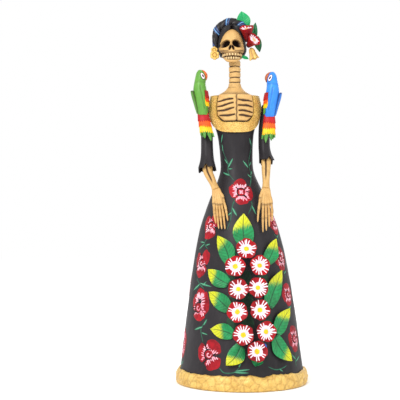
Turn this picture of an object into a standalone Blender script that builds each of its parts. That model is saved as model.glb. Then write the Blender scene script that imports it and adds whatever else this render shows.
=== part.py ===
"""Papier-mache catrina: a skeleton lady in a hollow dark gown, with a bouquet on her skirt, a parrot on
each shoulder, and a flowered head that sits on her neck by a wire, so that it turns and lifts off.

Metres, +Z up. The origin is the middle of the base board's underside, and the figure looks along -Y,
so her left-hand side as seen from the front is -X. The gown leans a little towards -X as it rises.
"""

import math

import bmesh
import bpy
from mathutils import Vector

# Driving dimensions, in metres -----------------------------------------------------------------------
GAP = 0.0004  # air between pieces that touch
GOWN_HEIGHT = 0.329
GOWN_WALL = 0.0025
GOWN_SIDES = 36
LEAN = 0.0075  # how far the gown's axis has moved towards -X at LEAN_HEIGHT and above
LEAN_HEIGHT = 0.300
BOARD_THICKNESS = 0.003
TRIM_HEIGHT = 0.0165
TRIM_BULGE = 0.0046
YOKE_THICKNESS = 0.003
RIBS_THICKNESS = 0.0022
NECK_TOP = 0.371
NECK_BORE = 0.0017
HEAD_WIRE = 0.0010
HEAD_WIRE_TIP = -0.0245
ARM_WIRE = 0.0010
ARM_WIRE_BORE = 0.0014
SLEEVE_WALL = 0.0016
PARROT_DEPTH = -0.0125  # where the parrots' middles stand in Y, in front of the sleeves
FLOWER_RADIUS = 0.0112
HAIR_THICKNESS = 0.0018
BUST_TOP = 0.3285  # where the neckline and the ribs end, just under the gown's flat top
YOKE_BACK_REACH = 74.0  # degrees to each side of the middle of the back
YOKE_BACK_BOTTOM, YOKE_BACK_RISE = 0.296, 0.008
RIBS_REACH = 46.0  # degrees to each side of the front
RIBS_BOTTOM, RIBS_CORNER = 0.2988, 0.0078
ARM_WIRE_END = 0.0005  # air past each end of the wire

# The gown's half-width at each height, and how deep it is there compared with its width
GOWN_PROFILE = (
    (0.000, 0.0722), (0.072, 0.0633), (0.125, 0.0555), (0.172, 0.0462), (0.205, 0.0347), (0.238, 0.0204),
    (0.255, 0.0187), (0.284, 0.0209), (0.300, 0.0255), (0.315, 0.0280), (0.329, 0.0255),
)
GOWN_DEPTH = ((0.0, 1.0), (0.12, 0.97), (0.20, 0.93), (0.25, 0.85), (0.31, 0.64), (0.34, 0.64))

# The chest opening's edge and the neckline's outer edge, from one side to the middle: (degrees, height)
YOKE_INSIDE = ((-49.5, BUST_TOP), (-49.5, 0.316), (-48.0, 0.3055), (-33.0, 0.2982), (0.0, 0.2972))
YOKE_OUTSIDE = ((-84.0, BUST_TOP), (-84.0, 0.312), (-79.0, 0.2990), (-46.0, 0.2892), (0.0, 0.2858))
# The neck from the collar up: (height, half-width, half-depth)
NECK_OUTLINE = (
    (GOWN_HEIGHT + GAP, 0.0195, 0.0135), (0.3312, 0.0180, 0.0128), (0.3345, 0.0125, 0.0115),
    (0.3390, 0.0084, 0.0084), (0.3430, 0.0070, 0.0070), (0.3500, 0.0066, 0.0066),
    (0.3564, 0.0068, 0.0068), (0.3632, 0.0067, 0.0067), (0.3695, 0.0066, 0.0066),
    (NECK_TOP, 0.0058, 0.0058),
)
NECK_BORE_BOTTOM = 0.344

# Where each bouquet flower and leaf is fixed: (degrees round from the front, height); a leaf runs from
# its base to its tip and has a half-width
FLOWERS = (
    (4.0, 0.1510), (-6.7, 0.1320), (15.7, 0.1330), (-4.3, 0.1080), (12.6, 0.1095),
    (-5.2, 0.0840), (13.1, 0.0860), (-0.9, 0.0600), (17.3, 0.0630), (9.1, 0.0425),
)
FLOWER_LENGTHS = (0.0165, 0.0185)  # they take turns, so that the rims pass each other
LEAVES = (
    ((4.9, 0.1570), (4.5, 0.1900), 0.0104),
    ((-15.0, 0.1376), (-28.5, 0.1663), 0.0084),
    ((-17.5, 0.1148), (-37.4, 0.1295), 0.0084),
    ((-15.0, 0.0871), (-34.3, 0.1054), 0.0084),
    ((-11.0, 0.0606), (-30.6, 0.0656), 0.0080),
    ((-3.5, 0.0475), (-15.1, 0.0277), 0.0084),
    ((31.7, 0.1373), (45.5, 0.1626), 0.0084),
    ((28.1, 0.0897), (45.6, 0.1281), 0.0090),
    ((36.4, 0.0605), (50.2, 0.0863), 0.0086),
    ((33.8, 0.0550), (44.4, 0.0299), 0.0090),
    ((10.2, 0.0355), (9.2, 0.0270), 0.0060),
)
LEAF_THICKNESS = 0.0015
LEAF_LIFT = 0.0060  # how far a leaf's tip stands off the gown

# Each arm from the shoulder down: (x, y, z) and the radius there
SLEEVES = {
    "left": (
        ((-0.0435, 0.003, 0.316), 0.0060), ((-0.0423, 0.003, 0.304), 0.0067),
        ((-0.0403, 0.001, 0.290), 0.0069), ((-0.0398, -0.004, 0.270), 0.0069),
        ((-0.0395, -0.008, 0.256), 0.0077), ((-0.0392, -0.013, 0.2436), 0.0100),
    ),
    "right": (
        ((0.0293, 0.003, 0.316), 0.0060), ((0.0284, 0.003, 0.304), 0.0067),
        ((0.0268, 0.001, 0.290), 0.0067), ((0.0263, -0.002, 0.272), 0.0066),
        ((0.0270, -0.0045, 0.262), 0.0072), ((0.0283, -0.008, 0.253), 0.0088),
    ),
}
FOREARMS = {
    "left": (
        ((-0.0395, -0.0095, 0.2520), 0.0050), ((-0.0390, -0.0138, 0.2420), 0.0054),
        ((-0.0345, -0.0205, 0.2310), 0.0050), ((-0.0302, -0.0270, 0.2218), 0.0040),
    ),
    "right": (
        ((0.0272, -0.0052, 0.2600), 0.0046), ((0.0281, -0.0092, 0.2505), 0.0052),
        ((0.0275, -0.0175, 0.2360), 0.0049), ((0.0267, -0.0252, 0.2224), 0.0041),
    ),
}
# The wire in both arms, from inside one forearm up through the bust to the other
ARM_WIRE_ROUTE = (
    (-0.0395, -0.0085, 0.2560), (-0.0398, -0.0040, 0.2700), (-0.0403, 0.0010, 0.2900),
    (-0.0405, 0.0030, 0.3050), (-0.0330, 0.0030, 0.3135), (-0.0075, 0.0030, 0.3150),
    (0.0180, 0.0030, 0.3135), (0.0262, 0.0030, 0.3050), (0.0268, 0.0010, 0.2900),
    (0.0263, -0.0020, 0.2720), (0.0272, -0.0050, 0.2600),
)
WRIST_GAP = 0.0024
HAND_THICKNESS = 0.0046
# Each hand: the knuckles' middle and half-width, then the finger tips from the thumb to the little finger
HANDS = {
    "left": (
        (-0.0266, -0.0330, 0.2045), 0.0058,
        ((-0.0169, -0.0415, 0.1845), (-0.0200, -0.0425, 0.1753), (-0.0236, -0.0430, 0.1752),
         (-0.0270, -0.0430, 0.1758), (-0.0302, -0.0420, 0.1815)),
    ),
    "right": (
        (0.0262, -0.0320, 0.2045), 0.0063,
        ((0.0164, -0.0400, 0.1832), (0.0222, -0.0410, 0.1719), (0.0259, -0.0410, 0.1737),
         (0.0293, -0.0405, 0.1779), (0.0325, -0.0395, 0.1842)),
    ),
}

# A parrot's body from its rump to its crown: (height, step to the outer side, half-width, half-depth)
PARROT_BODY = (
    (0.0000, 0.0000, 0.0054, 0.0048), (0.0110, 0.0014, 0.0072, 0.0068), (0.0240, 0.0030, 0.0081, 0.0080),
    (0.0350, 0.0035, 0.0069, 0.0072), (0.0440, 0.0022, 0.0069, 0.0070), (0.0495, 0.0026, 0.0052, 0.0056),
    (0.0520, 0.0030, 0.0028, 0.0030),
)
# The plates on a parrot: lowest and highest place, turns where 0 is inward and 90 the front, and thickness
PARROT_BEAK = (0.0400, 0.0512, -22, 48, 0.0020)
PARROT_INNER_WING = (0.0105, 0.0250, 8, 60, 0.0016)
PARROT_OUTER_WING = (0.0020, 0.0265, 140, 205, 0.0022)
PARROT_TAIL = ((-0.0005, 0.0053, 0.0015), (-0.0120, 0.0066, 0.0014), (-0.0240, 0.0074, 0.0009))
TAIL_POINT = 0.0025  # how much lower a tail ends in its middle than at its sides
# Each parrot: the side of its outer wing (-1 is -X), its rump, and how far the tail leans in over its length
PARROTS = {
    "green": (-1, Vector((-0.0443, PARROT_DEPTH, 0.3060)), 0.0045),
    "blue": (1, Vector((0.0318, PARROT_DEPTH, 0.3037)), 0.0010),
}

# The skull, measured from the neck's top: (height, middle's x, half-width, front, back)
SKULL = (
    (0.0006, 0.0000, 0.0062, 0.0070, 0.0075), (0.0024, -0.0006, 0.0070, 0.0078, 0.0080),
    (0.0032, -0.0020, 0.0112, 0.0165, 0.0085), (0.0060, -0.0024, 0.0126, 0.0172, 0.0100),
    (0.0095, -0.0025, 0.0152, 0.0168, 0.0125), (0.0168, -0.0025, 0.0147, 0.0158, 0.0145),
    (0.0237, -0.0025, 0.0133, 0.0155, 0.0152), (0.0300, -0.0025, 0.0113, 0.0135, 0.0138),
    (0.0340, -0.0025, 0.0080, 0.0098, 0.0100), (0.0360, -0.0025, 0.0040, 0.0050, 0.0050),
)
JAW_MIDDLE = Vector((-0.0022, -0.0050, 0.0))
JAW_RADII = (0.0082, 0.0122)
JAW_TOP = 0.0046  # inside the skull, which the jaw is joined to
JAW_CHIN = -0.0044
JAW_REACH = 66.0  # degrees to each side of the chin
BRAID_MIDDLE = Vector((-0.0030, 0.0050, 0.0258))
BRAID_SWEEP = 0.0196
BRAID_RADIUS = 0.0036
# The head's flowers: foot, rim's middle and rim's radius; its leaves: base, tip, half-width
HEAD_FLOWERS = (
    (Vector((0.0147, -0.0070, 0.0212)), Vector((0.0130, -0.0135, 0.0365)), 0.0084),
    (Vector((0.0148, -0.0080, 0.0156)), Vector((0.0224, -0.0150, 0.0220)), 0.0076),
)
HEAD_LEAVES = (
    (Vector((0.0121, 0.0003, 0.0385)), Vector((0.0077, 0.0003, 0.0576)), 0.0078),
    (Vector((0.0205, -0.0035, 0.0205)), Vector((0.0240, -0.0035, 0.0437)), 0.0040),
    (Vector((0.0245, -0.0056, 0.0270)), Vector((0.0288, -0.0056, 0.0088)), 0.0042),
    (Vector((0.0095, -0.0060, 0.0028)), Vector((0.0160, -0.0060, 0.0008)), 0.0018),
)
HEAD_LEAF_THICKNESS = 0.0012
EARRING_DEPTH = -0.0065
ROSETTE = (Vector((-0.0234, EARRING_DEPTH, 0.0048)),
           ((0.0000, 0.0035), (0.0010, 0.0055), (0.0024, 0.0050), (0.0036, 0.0030)))
ROSETTE_BUD = (Vector((-0.0238, EARRING_DEPTH, 0.0104)),
               ((0.0000, 0.0026), (0.0012, 0.0038), (0.0026, 0.0034), (0.0036, 0.0018)))
BELL_TOP, BELL_BOTTOM = Vector((0.0180, EARRING_DEPTH, 0.0136)), Vector((0.0222, EARRING_DEPTH, 0.0004))
BELL_OUTLINE = ((0.0, 0.0012), (0.12, 0.0024), (0.45, 0.0033), (0.8, 0.0047), (1.0, 0.0056), (0.9, 0.0034),
                (0.75, 0.0016))


# Curves and surfaces ---------------------------------------------------------------------------------
def spline(points, at):
    """One smooth curve through (place, value) points, read at a place."""
    last = len(points) - 1
    at = min(max(at, points[0][0]), points[last][0])
    i = max(k for k in range(last) if points[k][0] <= at)

    def slope(k):
        low, high = points[max(k - 1, 0)], points[min(k + 1, last)]
        return (high[1] - low[1]) / (high[0] - low[0])

    (start, value), (end, next_value) = points[i], points[i + 1]
    span = end - start
    t = (at - start) / span
    rise = 3 * t**2 - 2 * t**3
    return (
        (1 - rise) * value
        + rise * next_value
        + (t**3 - 2 * t**2 + t) * slope(i) * span
        + (t**3 - t**2) * slope(i + 1) * span
    )


def along(points, share):
    """The point at a share of the way through evenly numbered points, on one smooth curve."""
    numbered = [[(i, p[axis]) for i, p in enumerate(points)] for axis in range(len(points[0]))]
    return [spline(values, share * (len(points) - 1)) for values in numbered]


def lean_at(height):
    return -LEAN * min(1.0, height / LEAN_HEIGHT) ** 2


def gown_skin(angle, height):
    width = spline(GOWN_PROFILE, height)
    depth = width * spline(GOWN_DEPTH, height)
    return Vector((lean_at(height) + width * math.sin(angle), -depth * math.cos(angle), height))


def gown_point(angle, height, out=0.0):
    """A point on the gown, angle round from the front, or that far outside it."""
    step = 0.0005
    round_step = gown_skin(angle + step, height) - gown_skin(angle - step, height)
    up_step = gown_skin(angle, min(height + step, GOWN_HEIGHT)) - gown_skin(angle, max(height - step, 0))
    return gown_skin(angle, height) + round_step.cross(up_step).normalized() * out


def oval(middle, across, along_y, sides):
    """A level ring round a middle point, from -Y round by +X."""
    turns = [2 * math.pi * i / sides for i in range(sides)]
    return [middle + Vector((across * math.sin(t), -along_y * math.cos(t), 0)) for t in turns]


def tube_rings(path, radii, sides, steps):
    """Rings round a smooth path, each square to it."""
    places = [Vector(along(path, i / steps)) for i in range(steps + 1)]
    sizes = [along([(r,) for r in radii], i / steps)[0] for i in range(steps + 1)]
    rings = []
    for i, place in enumerate(places):
        ahead = (places[min(i + 1, steps)] - places[max(i - 1, 0)]).normalized()
        guide = Vector((0, 1, 0)) if abs(ahead.y) < 0.9 else Vector((1, 0, 0))
        side = ahead.cross(guide).normalized()
        up = side.cross(ahead)
        turns = [2 * math.pi * k / sides for k in range(sides)]
        rings.append([place + (side * math.cos(t) + up * math.sin(t)) * sizes[i] for t in turns])
    return rings


# Making objects --------------------------------------------------------------------------------------
def material(name, colour, roughness, metallic=0.0):
    made = bpy.data.materials.new(name)
    made.use_nodes = True
    shader = made.node_tree.nodes["Principled BSDF"]
    shader.inputs["Base Color"].default_value = (*colour, 1.0)
    shader.inputs["Roughness"].default_value = roughness
    shader.inputs["Metallic"].default_value = metallic
    return made


def add_object(name, mesh_maker, finish, parent=None):
    """One object whose mesh is made by mesh_maker in a bmesh, closed and facing out."""
    mesh = bpy.data.meshes.new(name)
    bm = bmesh.new()
    mesh_maker(bm)
    bmesh.ops.recalc_face_normals(bm, faces=bm.faces)
    bm.to_mesh(mesh)
    bm.free()
    mesh.shade_smooth()
    mesh.set_sharp_from_angle(angle=math.radians(40))
    if finish:
        mesh.materials.append(finish)
    made = bpy.data.objects.new(name, mesh)
    bpy.context.scene.collection.objects.link(made)
    made.parent = parent
    return made


def skin(rings):
    """A mesh maker for a closed solid over rings of points, with a fan over each end."""

    def make(bm):
        rows = [[bm.verts.new(p) for p in ring] for ring in rings]
        sides = len(rings[0])
        for low, high in zip(rows, rows[1:]):
            for k in range(sides):
                after = (k + 1) % sides
                bm.faces.new((low[k], low[after], high[after], high[k]))
        for row in (rows[0], rows[-1]):
            hub = bm.verts.new(sum((v.co for v in row), Vector()) / sides)
            for k in range(sides):
                bm.faces.new((row[k], row[(k + 1) % sides], hub))

    return make


def hoop(rings):
    """A mesh maker for a closed band: rings of points with the last joined to the first."""

    def make(bm):
        rows = [[bm.verts.new(p) for p in ring] for ring in rings]
        sides = len(rings[0])
        for i, low in enumerate(rows):
            high = rows[(i + 1) % len(rows)]
            for k in range(sides):
                after = (k + 1) % sides
                bm.faces.new((low[k], low[after], high[after], high[k]))

    return make


def slab(front, back):
    """A mesh maker for a plate between two grids of points of the same size."""

    def make(bm):
        faces = [[[bm.verts.new(p) for p in row] for row in grid] for grid in (front, back)]
        rows, columns = len(front), len(front[0])
        for grid in faces:
            for r in range(rows - 1):
                for c in range(columns - 1):
                    bm.faces.new((grid[r][c], grid[r][c + 1], grid[r + 1][c + 1], grid[r + 1][c]))
        rim = [(0, c) for c in range(columns)]
        rim += [(r, columns - 1) for r in range(1, rows)]
        rim += [(rows - 1, c) for c in range(columns - 2, -1, -1)]
        rim += [(r, 0) for r in range(rows - 2, 0, -1)]
        for (r, c), (r2, c2) in zip(rim, rim[1:] + rim[:1]):
            bm.faces.new((faces[0][r][c], faces[0][r2][c2], faces[1][r2][c2], faces[1][r][c]))

    return make


def combine(target, tool, operation):
    """Cuts target with tool, or joins tool to it; the tool is only a guide and isn't built."""
    tool.hide_render = True
    tool.display_type = "WIRE"
    step = target.modifiers.new(tool.name, "BOOLEAN")
    step.operation = operation
    step.solver = "EXACT"
    step.object = tool


# Gown ------------------------------------------------------------------------------------------------
def gown_rings(heights, out):
    turns = [2 * math.pi * k / GOWN_SIDES for k in range(GOWN_SIDES)]
    return [[gown_point(t, min(h, GOWN_HEIGHT), out) for t in turns] for h in heights]


def level(ring, height):
    return [Vector((p.x, p.y, height)) for p in ring]


def shell_rings(out, top):
    """The gown's outline offset by out, from the ground up to a flat top."""
    heights = [GOWN_HEIGHT * share for share in (0, 0.2, 0.38, 0.5, 0.6, 0.67, 0.73, 0.79, 0.86, 0.91, 0.955)]
    rings = [level(ring, h) for ring, h in zip(gown_rings(heights, out), heights)]
    return rings + [level(gown_rings([GOWN_HEIGHT], out)[0], top)]


def make_gown(paint):
    outer = shell_rings(0.0, GOWN_HEIGHT)
    inner = shell_rings(-GOWN_WALL, GOWN_HEIGHT - GOWN_WALL)
    shell = add_object("gown_shell", skin(inner[::-1] + outer), paint["charcoal"])
    board_edge = -GOWN_WALL - GAP
    board = [level(gown_rings([h], board_edge)[0], h) for h in (0.0, BOARD_THICKNESS)]
    add_object("base_board", skin(board), paint["card"])

    profile = ((GAP, 0), (TRIM_BULGE * 0.9, 0), (TRIM_BULGE, 0.3), (TRIM_BULGE * 0.87, 0.62),
               (TRIM_BULGE * 0.6, 0.9), (TRIM_BULGE * 0.3, 1.0), (GAP, 1.0))
    trim = []
    for out, share in profile:
        height = share * TRIM_HEIGHT
        trim.append(level(gown_rings([height], out)[0], height))
    add_object("hem_trim", hoop(trim), paint["gold"])
    return shell


def gown_plate(rows, inner, outer):
    """A mesh maker for a plate that lies on the gown: rows of (angle, height) and its two offsets."""
    grids = [[[gown_point(a, h, out) for a, h in row] for row in rows] for out in (outer, inner)]
    return slab(*grids)


def make_yoke(paint):
    """The embossed neckline: a band round the chest opening in front, and a plain back."""
    inside = YOKE_INSIDE + tuple((-a, h) for a, h in YOKE_INSIDE[-2::-1])
    outside = YOKE_OUTSIDE + tuple((-a, h) for a, h in YOKE_OUTSIDE[-2::-1])
    steps = 24
    rows = []
    for share in (0.0, 0.35, 0.7, 1.0):
        row = []
        for i in range(steps + 1):
            near, far = along(inside, i / steps), along(outside, i / steps)
            angle = near[0] + (far[0] - near[0]) * share
            row.append((math.radians(angle), near[1] + (far[1] - near[1]) * share))
        rows.append(row)
    add_object("yoke_front", gown_plate(rows, GAP, YOKE_THICKNESS), paint["gold"])

    back = []
    for share in (0.0, 0.25, 0.5, 0.75, 1.0):
        row = []
        for i in range(steps + 1):
            turn = -1 + 2 * i / steps
            bottom = YOKE_BACK_BOTTOM + YOKE_BACK_RISE * turn**2
            row.append((math.radians(180 + YOKE_BACK_REACH * turn), BUST_TOP + (bottom - BUST_TOP) * share))
        back.append(row)
    add_object("yoke_back", gown_plate(back, GAP, YOKE_THICKNESS), paint["gold"])


def make_rib_cage(paint):
    steps = 16
    corner_start = 0.62
    rows = []
    for share in (0.0, 0.25, 0.5, 0.75, 1.0):
        row = []
        for i in range(steps + 1):
            turn = -1 + 2 * i / steps
            into_corner = max(0.0, (abs(turn) - corner_start) / (1 - corner_start))
            bottom = RIBS_BOTTOM + RIBS_CORNER * into_corner**1.3
            row.append((math.radians(RIBS_REACH * turn), BUST_TOP + (bottom - BUST_TOP) * share))
        rows.append(row)
    add_object("rib_cage", gown_plate(rows, GAP, RIBS_THICKNESS), paint["bone"])


def make_neck(paint):
    """The flared collar and the column of vertebrae, with a bore down its middle for the head's wire."""
    axis = Vector((-LEAN, 0, 0))
    rings = [oval(axis + Vector((0, 0, h)), across, deep, 18) for h, across, deep in NECK_OUTLINE]
    rings += [oval(axis + Vector((0, 0, h)), NECK_BORE, NECK_BORE, 18) for h in (NECK_TOP, NECK_BORE_BOTTOM)]
    add_object("neck", skin(rings), paint["bone"])


# Arms ------------------------------------------------------------------------------------------------
def make_arm_wire(shell, paint):
    """The wire in both arms, its bore through the gown, and the bore itself for the sleeves and forearms."""
    route = [Vector(p) for p in ARM_WIRE_ROUTE]
    ends = [route[0] + (route[0] - route[1]) * 0.18, route[-1] + (route[-1] - route[-2]) * 0.2]
    wire = [ends[0], *route, ends[1]]
    add_object("arm_wire", skin(tube_rings(wire, [ARM_WIRE] * len(wire), 8, 28)), paint["wire"])
    far_ends = []
    for end, near in zip(ends, (route[0], route[-1])):
        far_ends.append(end + (end - near).normalized() * ARM_WIRE_END)
    hole = [far_ends[0], *route, far_ends[1]]
    bore = add_object("arm_wire_bore", skin(tube_rings(hole, [ARM_WIRE_BORE] * len(hole), 10, 28)), None)
    combine(shell, bore, "DIFFERENCE")
    return bore


def make_arms(shell, paint):
    heights = (0.270, 0.285, 0.300, 0.315, GOWN_HEIGHT)
    rings = gown_rings(heights, YOKE_THICKNESS + GAP)
    levels = heights[:-1] + (GOWN_HEIGHT + 0.011,)
    chest = add_object("shoulder_clearance", skin([level(r, h) for r, h in zip(rings, levels)]), None)
    bore = make_arm_wire(shell, paint)
    for side, stations in SLEEVES.items():
        path = [Vector(p) for p, _ in stations]
        radii = [r for _, r in stations]
        outer = tube_rings(path, radii, 14, 8)
        inner = tube_rings(path, [r - SLEEVE_WALL for r in radii], 14, 8)[1:]
        crown = outer[0]
        middle = sum(crown, Vector()) / len(crown)
        up = (path[0] - path[1]).normalized()
        dome = [[middle + (p - middle) * size + up * rise for p in crown]
                for size, rise in ((0.30, 0.0052), (0.70, 0.0040), (0.92, 0.0020))]
        sleeve = add_object(f"sleeve_{side}", skin(dome + outer + inner[::-1]), paint["charcoal"])
        combine(sleeve, chest, "DIFFERENCE")
        combine(sleeve, bore, "DIFFERENCE")

        path = [Vector(p) for p, _ in FOREARMS[side]]
        rings = tube_rings(path, [r for _, r in FOREARMS[side]], 12, 8)
        forearm = add_object(f"forearm_{side}", skin(rings), paint["bone"])
        combine(forearm, bore, "DIFFERENCE")
        make_hand(side, path, paint)


def make_hand(side, forearm, paint):
    """A palm from the wrist to the knuckles, with four fingers drawn from it and a thumb from its side."""
    knuckles, half_width, tips = HANDS[side]
    knuckles = Vector(knuckles)
    inward = 1 if side == "left" else -1
    down = (forearm[-1] - forearm[-2]).normalized()
    wrist = forearm[-1] + down * WRIST_GAP
    across = Vector((inward, 0, 0))
    front = across.cross((knuckles - wrist).normalized()).normalized()
    if front.y > 0:
        front = -front
    half_thick = HAND_THICKNESS / 2
    fingers = tips[:0:-1]  # little finger to index, so that they run inward

    def make(bm):
        def layer(middle, width, thick, drop=0.0):
            rows = []
            for away in (1, -1):
                rows.append([
                    bm.verts.new(middle + across * width * (-1 + k / 2) + front * thick * away
                                 + Vector((0, 0, -drop * (1 - abs(k - 2) / 2))))
                    for k in range(5)
                ])
            return rows

        top = layer(wrist, 0.0036, 0.0024)
        mid = layer(wrist.lerp(knuckles, 0.45), half_width * 0.85, half_thick)
        low = layer(knuckles, half_width, half_thick * 0.85, drop=0.0015)
        thumb_base = None
        for above, below in ((top, mid), (mid, low)):
            for k in range(4):
                bm.faces.new((above[0][k], above[0][k + 1], below[0][k + 1], below[0][k]))
                bm.faces.new((above[1][k + 1], above[1][k], below[1][k], below[1][k + 1]))
            bm.faces.new((above[0][0], below[0][0], below[1][0], above[1][0]))
            thumb_base = bm.faces.new((above[0][4], above[1][4], below[1][4], below[0][4]))
        for k in range(4):
            bm.faces.new((top[0][k], top[1][k], top[1][k + 1], top[0][k + 1]))
        bases = [bm.faces.new((low[0][k], low[0][k + 1], low[1][k + 1], low[1][k])) for k in range(4)]
        for base, tip in zip(bases, fingers):
            draw_finger(bm, base, Vector(tip), 0.0012)
        draw_finger(bm, thumb_base, Vector(tips[0]), 0.0013)

    add_object(f"hand_{side}", make, paint["bone"])


def draw_finger(bm, base, tip, radius):
    """Draws a face out to a tip in three steps, narrowing it."""
    start = base.calc_center_median()
    corners = [v.co - start for v in base.verts]
    axis = (tip - start).normalized()
    for share, size in ((0.2, 1.0), (0.6, 0.95), (0.93, 0.75), (1.0, 0.35)):
        drawn = bmesh.ops.extrude_discrete_faces(bm, faces=[base])["faces"][0]
        middle = start.lerp(tip, share)
        for vert, corner in zip(drawn.verts, corners):
            flat = corner - axis * corner.dot(axis)
            vert.co = middle + flat.normalized() * radius * 1.3 * size
        base = drawn


# Parrots ---------------------------------------------------------------------------------------------
def parrot_ring(outer_side, rump, station, out=0.0, turns=None):
    height, step, half_width, half_depth = station
    middle = rump + Vector((outer_side * step, 0, height))
    turns = turns or [2 * math.pi * k / 14 for k in range(14)]
    across, deep = -outer_side * (half_width + out), -(half_depth + out)
    return [middle + Vector((across * math.cos(t), deep * math.sin(t), 0)) for t in turns]


def parrot_plate(outer_side, rump, low, high, turn_low, turn_high, depth, taper):
    """A plate on a parrot's body between two heights and two turns, narrowed by taper at its ends."""
    columns = [[(s[0], s[k]) for s in PARROT_BODY] for k in (1, 2, 3)]
    grids = []
    for out in (depth, 0.0):
        rows = []
        for i in range(7):
            height = low + (high - low) * i / 6
            station = (height, *(spline(column, height) for column in columns))
            spread = 1 - (1 - taper) * abs(2 * i / 6 - 1) ** 2
            centre, half = (turn_low + turn_high) / 2, (turn_high - turn_low) / 2 * spread
            turns = [math.radians(centre + half * (-1 + k / 2)) for k in range(5)]
            edge = out * (1 - 0.5 * abs(2 * i / 6 - 1) ** 2)
            rows.append(parrot_ring(outer_side, rump, station, GAP + edge, turns))
        grids.append(rows)
    return slab(*grids)


def make_parrot(colour, paint):
    outer_side, rump, tail_lean = PARROTS[colour]
    name = f"parrot_{colour}"
    feathers = paint[colour]
    body = [along(PARROT_BODY, i / 12) for i in range(13)]
    add_object(f"{name}_body", skin([parrot_ring(outer_side, rump, s) for s in body]), feathers)
    beak = parrot_plate(outer_side, rump, *PARROT_BEAK, taper=0.55)
    add_object(f"{name}_beak", beak, paint["beak"])
    inner = parrot_plate(outer_side, rump, *PARROT_INNER_WING, taper=0.75)
    add_object(f"{name}_wing_inner", inner, paint["red"])
    outer = parrot_plate(outer_side, rump, *PARROT_OUTER_WING, taper=0.6)
    add_object(f"{name}_wing_outer", outer, feathers)

    rings = []
    for height, half_width, half_depth in PARROT_TAIL:
        share = height / PARROT_TAIL[-1][0]
        middle = rump + Vector((-outer_side * tail_lean * share, -0.002 * share, height))
        ring = oval(middle, half_width, half_depth, 12)
        drops = [TAIL_POINT * share * (1 - abs(p.x - middle.x) / half_width) for p in ring]
        rings.append([p - Vector((0, 0, drop)) for p, drop in zip(ring, drops)])
    add_object(f"{name}_tail", skin(rings), paint["orange"])


# Bouquet ---------------------------------------------------------------------------------------------
def trumpet(foot, rim, radius, lobes=5, sides=15):
    """A mesh maker for a trumpet flower from its foot to its rim, with a lobed edge and a raised middle."""
    axis = (rim - foot).normalized()
    guide = Vector((0, 0, 1)) if abs(axis.z) < 0.8 else Vector((0, -1, 0))
    across = axis.cross(guide).normalized()
    up = across.cross(axis)
    length = (rim - foot).length
    profile = ((0.0, 0.22), (0.30, 0.25), (0.58, 0.42), (0.84, 0.78), (0.96, 1.0), (1.02, 0.97),
               (0.96, 0.70), (0.90, 0.42), (0.93, 0.18))
    rings = []
    for share, size in profile:
        ring = []
        for k in range(sides):
            turn = 2 * math.pi * k / sides
            lobe = 1 - 0.07 * size * (1 - math.cos(lobes * turn)) / 2
            reach = radius * size * lobe
            facing = across * math.cos(turn) + up * math.sin(turn)
            ring.append(foot + axis * length * share + facing * reach)
        rings.append(ring)
    return skin(rings)


def make_bouquet(paint):
    for i, (degrees, height) in enumerate(FLOWERS):
        angle = math.radians(degrees)
        foot = gown_point(angle, height, GAP)
        rim = gown_point(angle, height, FLOWER_LENGTHS[i % 2])
        add_object(f"flower_{i + 1}", trumpet(foot, rim, FLOWER_RADIUS), paint["crimson"])
    for i, (base, tip, half_width) in enumerate(LEAVES):
        add_object(f"leaf_{i + 1}", gown_leaf(base, tip, half_width), paint["leaf"])


def leaf_share(t):
    """How wide a leaf is at a share of its length, from 0 to 1."""
    return max(0.08, math.sin(math.pi * min(1.0, 0.16 + 0.84 * t) ** 1.05) ** 0.8)


def gown_leaf(base, tip, half_width):
    middle_height = (base[1] + tip[1]) / 2
    girth = spline(GOWN_PROFILE, middle_height)
    start = Vector((math.radians(base[0]) * girth, base[1]))
    end = Vector((math.radians(tip[0]) * girth, tip[1]))
    run = (end - start).normalized()
    across = Vector((-run.y, run.x))
    grids = []
    for thickness in (LEAF_THICKNESS, 0.0):
        rows = []
        for i in range(9):
            t = i / 8
            lift = GAP + LEAF_LIFT * t**1.6
            row = []
            for s in (-1, -0.5, 0, 0.5, 1):
                place = start.lerp(end, t) + across * half_width * leaf_share(t) * s
                cup = 0.0008 * s**2 * math.sin(math.pi * t)
                row.append(gown_point(place.x / girth, place.y, lift + cup + thickness))
            rows.append(row)
        grids.append(rows)
    return slab(*grids)


# Head ------------------------------------------------------------------------------------------------
def skull_rings(stations, grow, sides=24):
    rings = []
    for height, middle, half_width, front, back in stations:
        ring = []
        for k in range(sides):
            turn = 2 * math.pi * k / sides
            reach = (front if math.cos(turn) > 0 else back) + grow
            ring.append(Vector((middle + (half_width + grow) * math.sin(turn),
                                -reach * math.cos(turn), height)))
        rings.append(ring)
    return rings


def skull_at(height):
    return (height, *(spline([(s[0], s[k]) for s in SKULL], height) for k in (1, 2, 3, 4)))


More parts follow.
